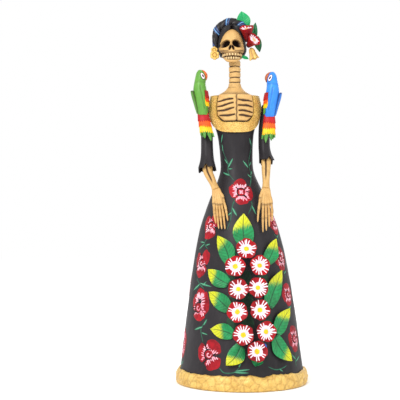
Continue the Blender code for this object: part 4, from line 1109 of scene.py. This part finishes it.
DABS = (
    ((-47, 0.2840), (-60, 0.2740), 2.2), ((-57, 0.2729), (-54, 0.2635), 2.2),
    ((-34, 0.2454), (-15, 0.2562), 2.6), ((-26, 0.2363), (-57, 0.2403), 2.4),
    ((-36, 0.2500), (-50, 0.2560), 2.0), ((-33, 0.2440), (-17, 0.2440), 1.8),
    ((60, 0.2721), (49, 0.2800), 2.2), ((41, 0.2455), (20, 0.2535), 2.8), ((48, 0.2480), (62, 0.2530), 2.2),
    ((46, 0.2370), (58, 0.2420), 2.0), ((44, 0.2340), (32, 0.2380), 2.0),
    ((-13, 0.1992), (-5, 0.1899), 2.8), ((-14, 0.1940), (-21, 0.1900), 2.2),
    ((23, 0.2018), (27, 0.1916), 2.6), ((-56, 0.1600), (-68, 0.1608), 2.0),
    ((-56, 0.1585), (-68, 0.1521), 2.2), ((-52, 0.1570), (-44, 0.1585), 2.2),
    ((-55, 0.1135), (-68, 0.1057), 3.0), ((-55, 0.1148), (-36, 0.1115), 2.6),
    ((-50, 0.1120), (-44, 0.1170), 2.0), ((-44, 0.0672), (-56, 0.0630), 3.0),
    ((-45, 0.0608), (-37, 0.0591), 2.0), ((-43, 0.0690), (-39, 0.0760), 2.6),
    ((-8, 0.0218), (5, 0.0237), 2.4), ((-9, 0.0205), (4, 0.0200), 2.4), ((-5, 0.0259), (-3, 0.0304), 2.2),
    ((59, 0.0299), (53, 0.0360), 2.4), ((59, 0.0278), (70, 0.0325), 2.4), ((60, 0.1655), (68, 0.1690), 2.2),
    ((61, 0.1250), (68, 0.1280), 2.2), ((58, 0.0860), (65, 0.0880), 2.2), ((59, 0.0790), (53, 0.0740), 2.2),
    ((34, 0.0225), (38, 0.0195), 1.8),
)


def paint_gown(paint):
    red, pink, black, green = Shape(), Shape(), Shape(), Shape()
    for number, rose in enumerate(ROSES):
        paint_rose((red, pink, black), rose, number)

    def stem(points, width, ends=(0.1, 0.25), tint_and_highlight=0.2, base=0.0):
        degrees, height = points[0]
        flat = [(math.radians(d - degrees) * spline(GOWN_PROFILE, h), h - height) for d, h in points]
        green.stroke(on_gown(degrees, height), flat, width, 0.00014, 0, base, ends=ends, tint_and_highlight=tint_and_highlight, point=0.9)

    for points in STEMS:
        stem(points, 0.0011)
    for base, tip, width in DABS:
        middle = ((base[0] + tip[0]) / 2, (base[1] + tip[1]) / 2)
        stem((base, middle, tip), width * MM, ends=(0.45, 0.6))
        stem((base, middle, tip), width * MM * 0.35, ends=(0.3, 0.7), tint_and_highlight=0.8, base=0.00014)
    backs = [rose for rose in ROSES if abs(rose[0]) > 80]
    for degrees, height, size, _ in backs:
        below = height - size * 1.05
        stem(((degrees - 2, below), (degrees + 2, below - 0.008), (degrees, below - 0.017)), 0.0011)
        for side in (-1, 1):
            stem(((degrees + 1, below - 0.008), (degrees + side * 5, below - 0.005),
                  (degrees + side * 9, below - 0.002)), 0.0028, ends=(0.45, 0.6))
            stem(((degrees, below - 0.013), (degrees + side * 4, below - 0.014),
                  (degrees + side * 8, below - 0.018)), 0.0026, ends=(0.45, 0.6))
    red.make("painted_petals", "figure", [paint["painted_red"]], "crimson_paint")
    pink.make("painted_highlights", "figure", [paint["painted_pink"]], "crimson_paint")
    black.make("painted_outlines", "figure", [paint["painted_black"]], "charcoal_paint")
    green.make("painted_vines", "figure", [paint["vine"]], "leaf_paint")


# Parrots ---------------------------------------------------------------------------------------------
# (height, step outward, half-width, half-depth); and each parrot's outer side, rump and tail's lean
PARROT_BODY = (
    (0.0000, 0.0000, 0.0056, 0.0050), (0.0110, 0.0014, 0.0073, 0.0069), (0.0240, 0.0032, 0.0081, 0.0080),
    (0.0340, 0.0038, 0.0070, 0.0073), (0.0410, 0.0032, 0.0062, 0.0068), (0.0450, 0.0028, 0.0059, 0.0063),
    (0.0490, 0.0030, 0.0045, 0.0049), (0.0512, 0.0034, 0.0026, 0.0029), (0.0520, 0.0036, 0.0011, 0.0013),
)
PARROTS = {
    "green": (-1, Vector((-0.0443, -0.0125, 0.3060)), 0.0045),
    "blue": (1, Vector((0.0318, -0.0125, 0.3037)), 0.0010),
}


def parrot_place(outer_side, rump):
    """Maps (height, degrees round, out) on a parrot's body to a place; 0 is inward and 90 is the front."""
    columns = [[(s[0], s[k]) for s in PARROT_BODY] for k in (1, 2, 3)]

    def place(height, degrees, out):
        step, half_width, half_depth = (spline(column, height) for column in columns)
        t = math.radians(degrees)
        return rump + Vector((
            outer_side * (step - (half_width + out) * math.cos(t)),
            -(half_depth + out) * math.sin(t),
            height,
        ))

    return place


def feather_skirt(shape, place, low, high, start, end, teeth, slot, out, flare, seed, drop=0.0016):
    """A band of short feathers with a jagged lower edge that stands off the surface towards its tips."""

    def feather(t, share):
        tooth = abs(math.sin(math.pi * teeth * share + 0.4 * math.sin(seed + 5 * share)))
        reach = drop * (tooth**0.8 - 0.5) + 0.0005 * math.sin(seed + 13 * share)
        height = high + (low - reach - high) * t
        degrees = start + (end - start) * share
        return (place(height, degrees, out + flare * t + 0.0003 * tooth * t),
                place(height, degrees, out + flare * t - 0.0007))

    shape.skin(6, teeth * 6, feather, slot)


def make_parrot_body(colour, place, paint):
    body = Shape()
    eye_height, eye_degrees, degrees_per_metre = 0.0442, 66, 9200

    def plumage(up, around):
        height, degrees = 0.052 * up, 360 * around
        spot = place(height, degrees, 0.0)
        neck_line = 0.0005 * bell(height - 0.0375, 0.0018) * max(0.0, math.sin(math.radians(degrees)))
        shoulder = bell(height - 0.027, 0.006) * bell((degrees - 62) / 22, 1.0)
        fold = bell(degrees - (72 + 14 * (height - 0.012) / 0.02), 5) * (0.006 < height < 0.034)
        out = -neck_line + 0.0007 * shoulder - 0.0006 * fold + 0.00015 * rough(spot, 0.004)
        return place(height, degrees, out), 0.55 * fold + 0.25 * bell(height - 0.0375, 0.0015)

    def eye(across, up, out):
        return place(eye_height + up, eye_degrees + across * degrees_per_metre, out)

    body.turned(70, 56, plumage)
    for wide, tall, slot, base in ((0.0024, 0.0046, 2, 0.0), (0.0020, 0.0041, 1, 0.0002),
                                   (0.0009, 0.0020, 2, 0.0004)):
        body.patch(eye, circle((0, 0), wide, tall, 32, turn=-0.5), 0.0004, slot, base)
    finishes = [paint[f"parrot_{colour}"], paint["white"], paint["socket"]]
    body.make(f"{colour}_parrot", "figure", finishes, f"{colour}_feathers", [f"parrot_{colour}_body"])


def make_parrot_beak(colour, place, paint):
    def beak_at(t, across):
        s = -1 + 2 * across
        height = 0.0518 - 0.0120 * t
        half = 36 * math.sin(math.pi * min(1.0, 0.20 + t * 0.80)) ** 0.7
        thick = 0.0020 * math.sin(math.pi * min(1.0, 0.22 + t * 0.78)) ** 0.6
        degrees = 6 - 8 * t + half * s
        return (place(height, degrees, 0.0003 + thick * (1 - s * s) ** 0.5), place(height, degrees, -0.0003),
                0.4 * (abs(s) > 0.9) + 0.7 * max(0.0, t - 0.55))

    beak = Shape()
    beak.skin(24, 14, beak_at)
    finish = paint["beak_orange" if colour == "green" else "beak_brown"]
    beak.make(f"{colour}_beak", "figure", [finish], "beak_orange", [f"parrot_{colour}_beak"])


def make_parrot_wings(colour, place, paint):
    """A short inner wing of red, orange and yellow feathers, and a long plain one on the outside."""
    feathers = paint[f"parrot_{colour}"]
    banded = [paint["red"], paint["orange"], paint["sunny"], paint["tip_green"]]
    short = Shape()
    for n, (low, high) in enumerate(((0.0198, 0.0275), (0.0156, 0.0214), (0.0108, 0.0172))):
        feather_skirt(short, place, low, high, 2 - n, 54 + 2 * n, 5, n + 1, 0.0014 - 0.0003 * n, 0.0003,
                      n + 2.0, 0.0022)
    if colour == "blue":
        feather_skirt(short, place, 0.0050, 0.0126, 8, 40, 2, 4, 0.0006, 0.0008, 6.0, 0.0030)
    short.make(f"{colour}_short_wing", "figure", [feathers] + banded, "banded_feathers",
               [f"parrot_{colour}_wing_inner"])

    def wing_at(t, across):
        s = -1 + 2 * across
        height = 0.0275 - 0.0262 * t
        degrees = 168 + 30 * math.sin(math.pi * min(1.0, 0.18 + 0.74 * t)) ** 0.6 * s
        quill = 0.5 + 0.5 * math.cos(TURN * (s * 2.5 + t))
        lift = 0.0004 + 0.0016 * (1 - t) ** 2
        return (place(height, degrees, lift + 0.0009 * (1 - s**4) + 0.0002 * quill),
                place(height, degrees, lift - 0.0006),
                0.15 + 0.2 * (1 - quill) + 0.5 * (abs(s) > 0.8) + 0.5 * (t < 0.05))

    long = Shape()
    long.skin(30, 16, wing_at)
    long.make(f"{colour}_long_wing", "figure", [feathers], f"{colour}_feathers",
              [f"parrot_{colour}_wing_outer"])


def make_parrot_tail(colour, paint):
    """Three jagged bands of short feathers round a core, and seven long green tips below them."""
    outer_side, rump, tail_lean = PARROTS[colour]
    spots = (-1, -0.66, -0.33, 0, 0.33, 0.66, 1)
    last = len(spots) - 1

    def place(height, degrees, out):
        share = min(max(-height / 0.024, 0.0), 1.3)
        half_width = 0.0053 + 0.0019 * share
        half_depth = 0.0030 - 0.0010 * share
        t = math.radians(degrees)
        return rump + Vector((-outer_side * (tail_lean * share + (half_width + out) * math.cos(t)),
                              -0.0020 * share - (half_depth + out) * math.sin(t), height))

    def tip_at(middle, low, wide):
        def at(t, across):
            s = spots[round(across * last)]
            half = wide * math.sin(math.pi * min(1.0, 0.40 + 0.60 * t)) ** 0.8
            height = -0.0145 + (low + 0.0145) * t
            top = 0.0008 * (1 - s * s) + 0.0008 * t * t - 0.0003 * (s == 0)
            return (place(height, middle + half * s, top), place(height, middle + half * s, -0.0006),
                    0.5 if s in (-1, 0, 1) else 0.1)

        return at

    tail = Shape()
    for n, (low, high) in enumerate(((-0.0060, 0.0022), (-0.0122, -0.0035), (-0.0190, -0.0095))):
        feather_skirt(tail, place, low, high, -40, 220, 13, n, 0.0010 - 0.0003 * n, 0.0003, n * 2.0, 0.0034)
    for middle, low, wide in ((18, -0.0255, 20), (64, -0.0300, 24), (112, -0.0275, 22), (150, -0.0240, 18),
                              (-16, -0.0225, 16), (230, -0.0255, 24), (290, -0.0260, 24)):
        tail.skin(14, last, tip_at(middle, low, wide), 3)
    tail.loft([[place(h, d, -0.0008) for d in range(0, 360, 15)] for h in (0.0006, -0.008, -0.016)], 2)
    tail.make(f"{colour}_tail", "figure", [paint["red"], paint["orange"], paint["sunny"], paint["tip_green"]],
              "banded_feathers", [f"parrot_{colour}_tail"])


def make_parrot(colour, paint):
    outer_side, rump, _ = PARROTS[colour]
    place = parrot_place(outer_side, rump)
    make_parrot_body(colour, place, paint)
    make_parrot_beak(colour, place, paint)
    make_parrot_wings(colour, place, paint)
    make_parrot_tail(colour, paint)


# Head ------------------------------------------------------------------------------------------------
# From the neck's top: (height, middle's x, half-width, front, back)
SKULL = (
    (0.0006, 0.0000, 0.0062, 0.0070, 0.0075), (0.0020, -0.0010, 0.0085, 0.0110, 0.0080),
    (0.0028, -0.0026, 0.0112, 0.0160, 0.0085), (0.0060, -0.0030, 0.0122, 0.0170, 0.0100),
    (0.0095, -0.0034, 0.0142, 0.0166, 0.0125), (0.0125, -0.0035, 0.0148, 0.0162, 0.0135),
    (0.0168, -0.0035, 0.0141, 0.0158, 0.0145), (0.0237, -0.0034, 0.0126, 0.0158, 0.0152),
    (0.0300, -0.0034, 0.0101, 0.0138, 0.0138), (0.0340, -0.0034, 0.0064, 0.0098, 0.0100),
    (0.0360, -0.0034, 0.0022, 0.0035, 0.0040),
)
FACE_X = -0.0042
JAW_MIDDLE = HEAD + Vector((-0.0032, -0.0048, 0.0))
# The eye sockets, from the face's middle: x, height, half-width, half-height and lean
EYES = ((-0.0074, 0.0168, 0.0054, 0.0035, 0.40), (0.0064, 0.0170, 0.0054, 0.0036, -0.34))


def skull_place(height, turn, out=0.0):
    middle, half_width, front, back = (spline([(s[0], s[k]) for s in SKULL], height) for k in (1, 2, 3, 4))
    reach = front if math.cos(turn) > 0 else back
    return Vector((middle + (half_width + out) * math.sin(turn), -(reach + out) * math.cos(turn), height))


def skull_relief(spot):
    """How far the bone stands out or sinks at a place on the face, how dark it is painted (brown, and painted
    shade behind the teeth), and how black.
    """
    if spot.y > 0:
        return 0.0, 0.0, 0.0
    x, z = spot.x - FACE_X, spot.z
    out, dark, black = 0.0, 0.0, 0.0
    for middle_x, middle_z, wide, tall, lean in EYES:
        dx, dz = x - middle_x, z - middle_z
        u = dx * math.cos(lean) + dz * math.sin(lean)
        v = -dx * math.sin(lean) + dz * math.cos(lean)
        reach = math.hypot(u / wide, v / tall)
        hole = 1 / (1 + math.exp((reach - 1.0) * 11))
        rim = bell(reach - 1.28, 0.22)
        out += -0.0046 * hole + 0.0007 * rim
        dark = max(dark, 0.8 / (1 + math.exp((reach - 1.12) * 14)))
        black = max(black, 1 / (1 + math.exp((reach - 0.98) * 22)))
    for side in (-1, 1):
        dx, dz = x - side * 0.0018 - side * (0.0125 - z) * 0.28, z - 0.0125
        reach = math.hypot(dx / 0.0014, dz / 0.0027)
        hole = 1 / (1 + math.exp((reach - 1.0) * 7))
        out += -0.0022 * hole
        dark = max(dark, 0.8 / (1 + math.exp((reach - 1.15) * 9)))
        black = max(black, 1 / (1 + math.exp((reach - 0.95) * 14)))
    out += 0.0016 * bell(x, 0.0015) * bell(z - 0.0176, 0.0034)
    out += 0.0014 * bell(math.hypot(abs(x) - 0.0105, z - 0.0108), 0.0032)
    out -= 0.0018 * bell(math.hypot(abs(x) - 0.0108, z - 0.0058), 0.0026)
    dark = max(dark, 0.70 * bell(math.hypot(abs(x) - 0.0100, z - 0.0066), 0.0028))
    dark = max(dark, 0.62 * bell(z - 0.0088 - 0.12 * (abs(x) - 0.006), 0.0010) * (abs(x) > 0.0035))
    dark = max(dark, 0.35 * bell(abs(x) - 0.0040, 0.0009) * bell(z - 0.0100, 0.0022))
    out += 0.0008 * bell(z - 0.0232, 0.0026) * bell(x, 0.011)
    # Painted shade in the mouth behind the teeth, and a dark line along the top of the teeth
    shaded_mouth = 1 / (1 + math.exp((z - 0.0070) / 0.0003))
    dark = max(dark, 0.55 * bell(z - 0.0074, 0.0007))
    return out - 0.0004 * shaded_mouth, max(dark, 0.60 * shaded_mouth), black


def jaw_bar(shape, steps, half_angle, outline_at, slot, dark_paint_and_shade):
    """A bar that curves round the jaw; outline_at(share) gives its outline as (reach, height) corners."""
    rings = []
    for k in range(steps + 1):
        share = -1 + 2 * k / steps
        facing = level_at(math.radians(half_angle * share))
        rings.append([JAW_MIDDLE + facing * reach + Vector((0, 0, h)) for reach, h in outline_at(share)])
    shape.loft(rings, slot, [dark_paint_and_shade] * len(rings))


def jaw_reach(share):
    return 0.0122 - 0.0022 * share**2


def jaw_outline(share):
    chin = -0.0047 + 0.0050 * abs(share) ** 2.4
    outer = jaw_reach(share)
    inner, top = 0.0083, 0.0018
    return ((inner, top), (inner, chin + 0.0008), (0.0093, chin), (outer - 0.0014, chin + 0.0001),
            (outer - 0.0001, chin + 0.0010), (outer + 0.0002, chin + 0.0022), (outer - 0.0004, chin + 0.0032),
            (outer - 0.0006, top - 0.0004), (outer - 0.0010, top))


def add_tooth(shape, root, side, facing, half_width, low, high, narrow_top):
    """One tooth, rounded at its corners; its ends narrow towards the gum."""
    sides = 12
    rings, dark_paint_and_shade_rows = [], []
    for t, size in ((0.0, 0.45), (0.08, 0.80), (0.3, 0.98), (0.7, 1.0), (0.92, 0.86), (1.0, 0.5)):
        wide = half_width * size * (1 - 0.22 * (t if narrow_top else 1 - t))
        middle = root + Vector((0, 0, low + (high - low) * t))
        corners = [polar(TURN * j / sides, 1.0) for j in range(sides)]
        rings.append([middle + side * wide * p.x + facing * 0.0008 * size * p.y for p in corners])
        dark_paint_and_shade_rows.append([0.12 + 0.66 * (size < 0.9)] * sides)
    shape.loft(rings, 1, dark_paint_and_shade=dark_paint_and_shade_rows)


def add_teeth(shape):
    """A row in the skull, and between them from below the row in the jaw."""
    count, gum = 11, 0.0045
    for k in range(count):
        share = -1 + 2 * k / (count - 1)
        turn = math.radians(76) * (1.12 * share - 0.12 * share**3)
        root = skull_place(gum, turn, -0.0005)
        side = (skull_place(gum, turn + 0.05) - skull_place(gum, turn - 0.05)).normalized()
        facing = Vector((side.y, -side.x, 0))
        tall = 0.0002 * (k % 3)
        add_tooth(shape, HEAD + Vector((root.x, root.y, 0)), side, facing, 0.00120, 0.0025 + tall,
                  0.0068 - tall, True)
    for k in range(count - 1):
        share = -1 + 2 * (k + 0.5) / (count - 1)
        turn = math.radians(70 * share)
        facing = level_at(turn)
        side = Vector((math.cos(turn), math.sin(turn), 0))
        tall = 0.0002 * (k % 2)
        add_tooth(shape, JAW_MIDDLE + facing * (jaw_reach(share) - 0.0007), side, facing, 0.00110,
                  -0.0016 + 0.0010 * share**2, 0.0023 - tall, False)


def make_skull(paint):
    bottom, top = SKULL[0][0], SKULL[-1][0]
    bone, socket = 0, 2

    def bone_at(up, around):
        height = bottom + (top - bottom) * up
        turn = TURN * around
        spot = skull_place(height, turn)
        out, dark, black = skull_relief(spot)
        out += 0.00022 * rough(spot, 0.0035) + 0.0001 * rough(spot, 0.0012, 3.0)
        return HEAD + skull_place(height, turn, out), dark, black

    shape = Shape()
    shape.turned(150, 180, bone_at)
    shape.slots = [socket if min(shape.tint_and_highlight[n] for n in face) > 0.75 else bone for face in shape.faces]
    # The jaw's inner and top faces are darkened with painted shade
    jaw_bar(shape, 60, 72, jaw_outline, bone, [0.8, 0.2, 0.0, 0.0, 0.0, 0.0, 0.7, 0.8, 0.8])
    add_teeth(shape)
    # A black bar between the rows of teeth: painted shade in the open mouth
    mouth_shade_bar = ((0.0085, 0.0034), (0.0085, 0.0014), (0.0101, 0.0014), (0.0101, 0.0034))
    jaw_bar(shape, 30, 60, lambda share: mouth_shade_bar, socket, [0.0] * len(mouth_shade_bar))
    finishes = [paint["bone"], paint["ivory"], paint["socket"]]
    shape.make("skull_bone", "head", finishes, "bone_paint", ["skull"])


def make_combed_hair(paint):
    """Black hair combed back from round the face, closed at the crown."""
    columns = 160
    bottom, top = 0.0042, 0.0358

    def comb(t, share):
        height = bottom + (top - bottom) * t
        opening = 1.0 - (max(0.0, height - 0.0120) / 0.0232) ** 2.4
        edge = math.radians(74) * max(0.0, opening) ** 0.5 if height < 0.0352 else 0.0
        turn = edge + (TURN - 2 * edge) * share
        strand = 0.5 + 0.5 * math.sin(84 * turn + 30 * t + 2 * math.sin(9 * turn))
        lift = 0.0022 + 0.0030 * t**3 + 0.00022 * strand
        taper = min(1.0, 12 * min(share, 1 - share) + 0.25)
        near = HEAD + skull_place(height, turn, lift * taper) + Vector((0, 0, 0.0044 * t**5))
        far = HEAD + skull_place(height, turn, 0.0003) + Vector((0, 0, 0.0006 * t**3))
        off_edge = 20 * t
        # A painted highlight (shine) on the strands' crests, and painted shade between the strands and along
        # the lower edge by the face
        shine = 0.55 * strand**3 * (0.5 + 0.5 * math.sin(5 * turn)) * min(1.0, off_edge)
        return near, far, max(0.7 * (1 - strand) ** 2, 1.0 - off_edge), shine

    shape = Shape()
    shape.skin(60, columns, comb)
    crown = [comb(1.0, c / columns)[0] for c in range(columns + 1)]
    numbers = shape.rows([crown, [p + Vector((0, 0, -0.0006)) for p in crown]])
    shape.lid(numbers[0])
    shape.lid(numbers[1])
    shape.web(numbers, True)
    shape.make("combed_hair", "head", [paint["hair"]], "hair_black", ["hair"])


BRAID_TWIST = TURN * 2.6


def braid_path():
    """Up from beside the face, over the crown and down to the flowers."""
    middle = HEAD + Vector((-0.0034, 0.0016, 0.0252))
    path = [middle + Vector((-0.0186, 0, -0.0118))]
    for k in range(9):
        turn = math.radians(-90 + 168 * k / 8)
        path.append(middle + Vector((0.0188 * math.sin(turn), 0, 0.0194 * math.cos(turn))))
    return path


def braid_weave(share, turn):
    """How near a place is to the middle of one of the braid's three strands, and of one of its hairs."""
    lobe = abs(math.cos(1.5 * (turn - BRAID_TWIST * share)))
    return lobe, 0.5 + 0.5 * math.sin(26 * (turn - BRAID_TWIST * share * 0.9))


def braid_radius(share, turn):
    taper = min(1.0, 0.62 + 1.9 * share, 0.66 + 1.8 * (1 - share))
    lobe, hair = braid_weave(share, turn)
    return (0.0044 + 0.0010 * math.sin(math.pi * share)) * taper * (0.80 + 0.20 * lobe**0.5 + 0.018 * hair)


def make_braid(paint):
    """A fat rolled braid, wound with blue ribbon."""
    path = braid_path()
    sides, steps = 60, 150
    windings, half_width, spin = 3.9, 1.08, 5.16

    def shade(share, around):
        lobe, hair = braid_weave(share, TURN * around)
        # Painted shade between the three strands, and a painted highlight on each strand's crest
        return max(0.0, 0.9 - 2.2 * lobe), 0.8 * hair * lobe**2

    def ribbon_at(t, across):
        s = -1 + 2 * across
        share = 0.03 + 0.94 * t
        here = Vector(along(path, share))
        run = Vector(along(path, min(share + 0.01, 1))) - Vector(along(path, max(share - 0.01, 0)))
        side = run.cross(Vector((0, 1, 0))).normalized()
        up = side.cross(run.normalized())
        turn = TURN * windings * share + half_width * s + spin
        reach = braid_radius(share, turn)
        facing = side * math.cos(turn) + up * math.sin(turn)
        # Two light stripes along the ribbon: painted highlight
        highlight_stripes = 0.9 * bell(s - 0.35, 0.22) + 0.7 * bell(s + 0.6, 0.12)
        near = here + facing * (reach + 0.0007 - 0.0003 * s * s)
        return near, here + facing * (reach - 0.0006), 0.0, highlight_stripes

    braid = Shape()
    braid.loft(tube_rings(path, braid_radius, sides, steps), 0, *surface(steps, sides, shade, True))
    braid.make("rolled_braid", "head", [paint["hair"]], "hair_black", ["braid"])
    ribbon = Shape()
    ribbon.skin(260, 12, ribbon_at)
    ribbon.make("braid_ribbon", "head", [paint["ribbon"]], "blue_feathers")


# Each flower's foot, rim and radius, and each leaf's base, tip and half-width, from the top of the neck
HEAD_FLOWERS = (
    (Vector((0.0150, -0.0060, 0.0212)), Vector((0.0130, -0.0135, 0.0360)), 0.0088),
    (Vector((0.0150, -0.0062, 0.0160)), Vector((0.0222, -0.0154, 0.0220)), 0.0084),
)
HEAD_LEAVES = (
    (Vector((0.0121, 0.0003, 0.0375)), Vector((0.0077, 0.0003, 0.0576)), 0.0080),
    (Vector((0.0205, -0.0035, 0.0205)), Vector((0.0240, -0.0035, 0.0437)), 0.0041),
    (Vector((0.0245, -0.0056, 0.0270)), Vector((0.0288, -0.0056, 0.0088)), 0.0044),
    (Vector((0.0080, -0.0060, 0.0034)), Vector((0.0160, -0.0060, 0.0008)), 0.0020),
)


def make_head_leaf(number, paint):
    base, tip, half_width = HEAD_LEAVES[number - 1]
    across = (tip - base).cross(Vector((0, 1, 0))).normalized()

    def place(t, side, out):
        curl = 0.0012 * math.sin(math.pi * t)
        return HEAD + base.lerp(tip, t) + across * side + Vector((0, 0.0006 - out - curl, 0))

    shape = Shape()
    shape.skin(*LEAF_GRID, leaf_at(place, half_width, 0.0010, NO_TIP, number, veins=0.4))
    finish = paint["bright_leaf"] if number in (1, 4) else paint["dark_leaf"]
    shape.make(f"hair_leaf_{number}", "head", [finish], "leaf_paint", [f"head_leaf_{number}"])


# Rings of the rosettes' outline, from the back to the middle of the front: (depth, share of the radius)
ROSETTE = ((0.0, 0.60), (0.0008, 0.92), (0.0020, 1.0), (0.0032, 0.88), (0.0036, 0.62), (0.0030, 0.46),
           (0.0036, 0.34), (0.0046, 0.18))
ROSETTE_GROOVE = 0.46
# Rings of the bell's outline, down its outside and back up inside: (share of its length, radius)
BELL = ((0.0, 0.0010), (0.08, 0.0026), (0.22, 0.0036), (0.42, 0.0040), (0.62, 0.0046), (0.80, 0.0055),
        (0.94, 0.0062), (1.0, 0.0060), (0.95, 0.0046), (0.80, 0.0030), (0.66, 0.0014))


def petalled(shape, outline, petals, at):
    """A closed solid of rings with petals; at(part of the outline, angle, petal wave) gives each point."""
    last = len(outline) - 1

    def point(share, around):
        turn = TURN * around
        return at(outline[round(share * last)], turn, 0.5 + 0.5 * math.cos(petals * turn))

    shape.turned(last, 60, point)


def make_earrings(paint):
    """A gold rosette under a bud on one side, and on the other a gold bell flower hanging open."""
    rosette = Shape()
    for middle, radius, petals in ((Vector((-0.0234, -0.0065, 0.0048)), 0.0056, 6),
                                   (Vector((-0.0240, -0.0065, 0.0108)), 0.0040, 5)):

        def petal(part, turn, wave, middle=middle, radius=radius):
            depth, size = part
            flat = polar(turn, radius * size * (0.86 + 0.14 * wave**0.6))
            place = HEAD + middle + Vector((flat.y, -depth - 0.0003 * wave, flat.x))
            return place, 0.45 * (1 - wave) ** 2 * size + 0.7 * (size == ROSETTE_GROOVE)

        petalled(rosette, ROSETTE, petals, petal)
    rosette.make("rosette_earring", "head", [paint["gold"]], "gold_paint", ["earring_left"])

    top, bottom = Vector((0.0186, -0.0065, 0.0136)), Vector((0.0222, -0.0065, 0.0004))
    axis = (bottom - top).normalized()
    across = axis.cross(Vector((0, 1, 0))).normalized()

    def frill(part, turn, wave):
        share, radius = part
        flat = polar(turn, radius * (1 - 0.20 * (1 - wave) * share))
        spot = top.lerp(bottom, share) + axis * 0.0008 * (wave - 1) * share**3
        streak = 0.5 + 0.5 * math.sin(13 * turn + 5 * share)
        dark = 0.62 * (1 - wave) ** 1.5 + 0.30 * streak**2 * (1 - 0.5 * share)
        return HEAD + spot + across * flat.x + Vector((0, flat.y, 0)), dark

    flower = Shape()
    petalled(flower, BELL, 5, frill)
    flower.make("bell_earring", "head", [paint["gold"]], "gold_paint", ["earring_right"])


def make_head(paint):
    make_skull(paint)
    make_combed_hair(paint)
    make_braid(paint)
    for i, (foot, rim, radius) in enumerate(HEAD_FLOWERS):
        make_trumpet(f"hair_flower_{i + 1}", "head", HEAD + foot, HEAD + rim, radius, i + 41, paint,
                     f"head_flower_{i + 1}", starred=False, lobes=4 + i)
    for number in range(1, len(HEAD_LEAVES) + 1):
        make_head_leaf(number, paint)
    make_earrings(paint)


def make_stem(paint):
    """The wire under the head, from inside the skull down the bore of the neck."""
    path = [HEAD + Vector((0, 0, height)) for height in (0.0100, 0.0, -0.0120, -0.0245)]
    shape = Shape()
    shape.loft(tube_rings(path, lambda share, turn: 0.0010 if share < 0.98 else 0.0007, 20, 40))
    shape.make("stem_wire", "stem", [paint["wire"]], "iron_wire", ["head_wire"])


# Scene -----------------------------------------------------------------------------------------------
def make_stage():
    scene = bpy.context.scene
    reach, drop = 4.0, -0.0004
    corners = [(-reach, -reach, drop), (reach, -reach, drop), (reach, reach, drop), (-reach, reach, drop)]
    white = (255, 255, 255)
    mesh = bpy.data.meshes.new("floor")
    mesh.from_pydata(corners, [], [(0, 1, 2, 3)])
    mesh.materials.append(hand_paint("studio_white", white, white, (0.9, 0.95), 4, relief=0.0, specular=0.0))
    floor = bpy.data.objects.new("floor", mesh)
    scene.collection.objects.link(floor)

    world = bpy.data.worlds.new("studio")
    world.use_nodes = True
    sky = world.node_tree.nodes["Background"]
    sky.inputs["Color"].default_value = (1.0, 1.0, 1.0, 1.0)
    sky.inputs["Strength"].default_value = 1.0
    scene.world = world
    scene.view_settings.view_transform = "Standard"

    for name, place, size, power in (
        ("key", (-0.55, -1.10, 0.95), 0.45, 13.0),
        ("fill", (0.95, -0.90, 0.45), 0.80, 3.0),
        ("back", (0.30, 1.10, 0.80), 0.60, 4.0),
    ):
        lamp = bpy.data.lights.new(name, "AREA")
        lamp.size = size
        lamp.energy = power
        holder = bpy.data.objects.new(name, lamp)
        holder.location = place
        aim = Vector((0, 0, 0.2)) - Vector(place)
        holder.rotation_euler = aim.to_track_quat("-Z", "Y").to_euler()
        scene.collection.objects.link(holder)


def make_camera():
    """The photograph's view: level with the gown's hips, from a little to the figure's right-hand side."""
    lens = bpy.data.cameras.new("camera")
    lens.lens = 85.5
    lens.sensor_width = 36
    camera = bpy.data.objects.new("camera", lens)
    camera.location = (-0.0479, -1.10, 0.180)
    camera.rotation_euler = (math.radians(91.5), 0, 0)
    bpy.context.scene.collection.objects.link(camera)
    bpy.context.scene.camera = camera


def main():
    make_camera()
    make_stage()
    paint = make_paints()
    for node, finish in (("base_board", "card"), ("arm_wire", "wire")):
        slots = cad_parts[node].data.materials
        slots.clear()
        slots.append(paint[finish])
    make_gown(paint)
    make_hem(paint)
    make_yoke(paint)
    make_ribs(paint)
    make_neck(paint)
    for side in ("left", "right"):
        make_sleeve(side, paint)
        make_forearm(side, paint)
        make_hand(side, paint)
    make_bouquet(paint)
    paint_gown(paint)
    for colour in PARROTS:
        make_parrot(colour, paint)
    make_head(paint)
    make_stem(paint)


main()
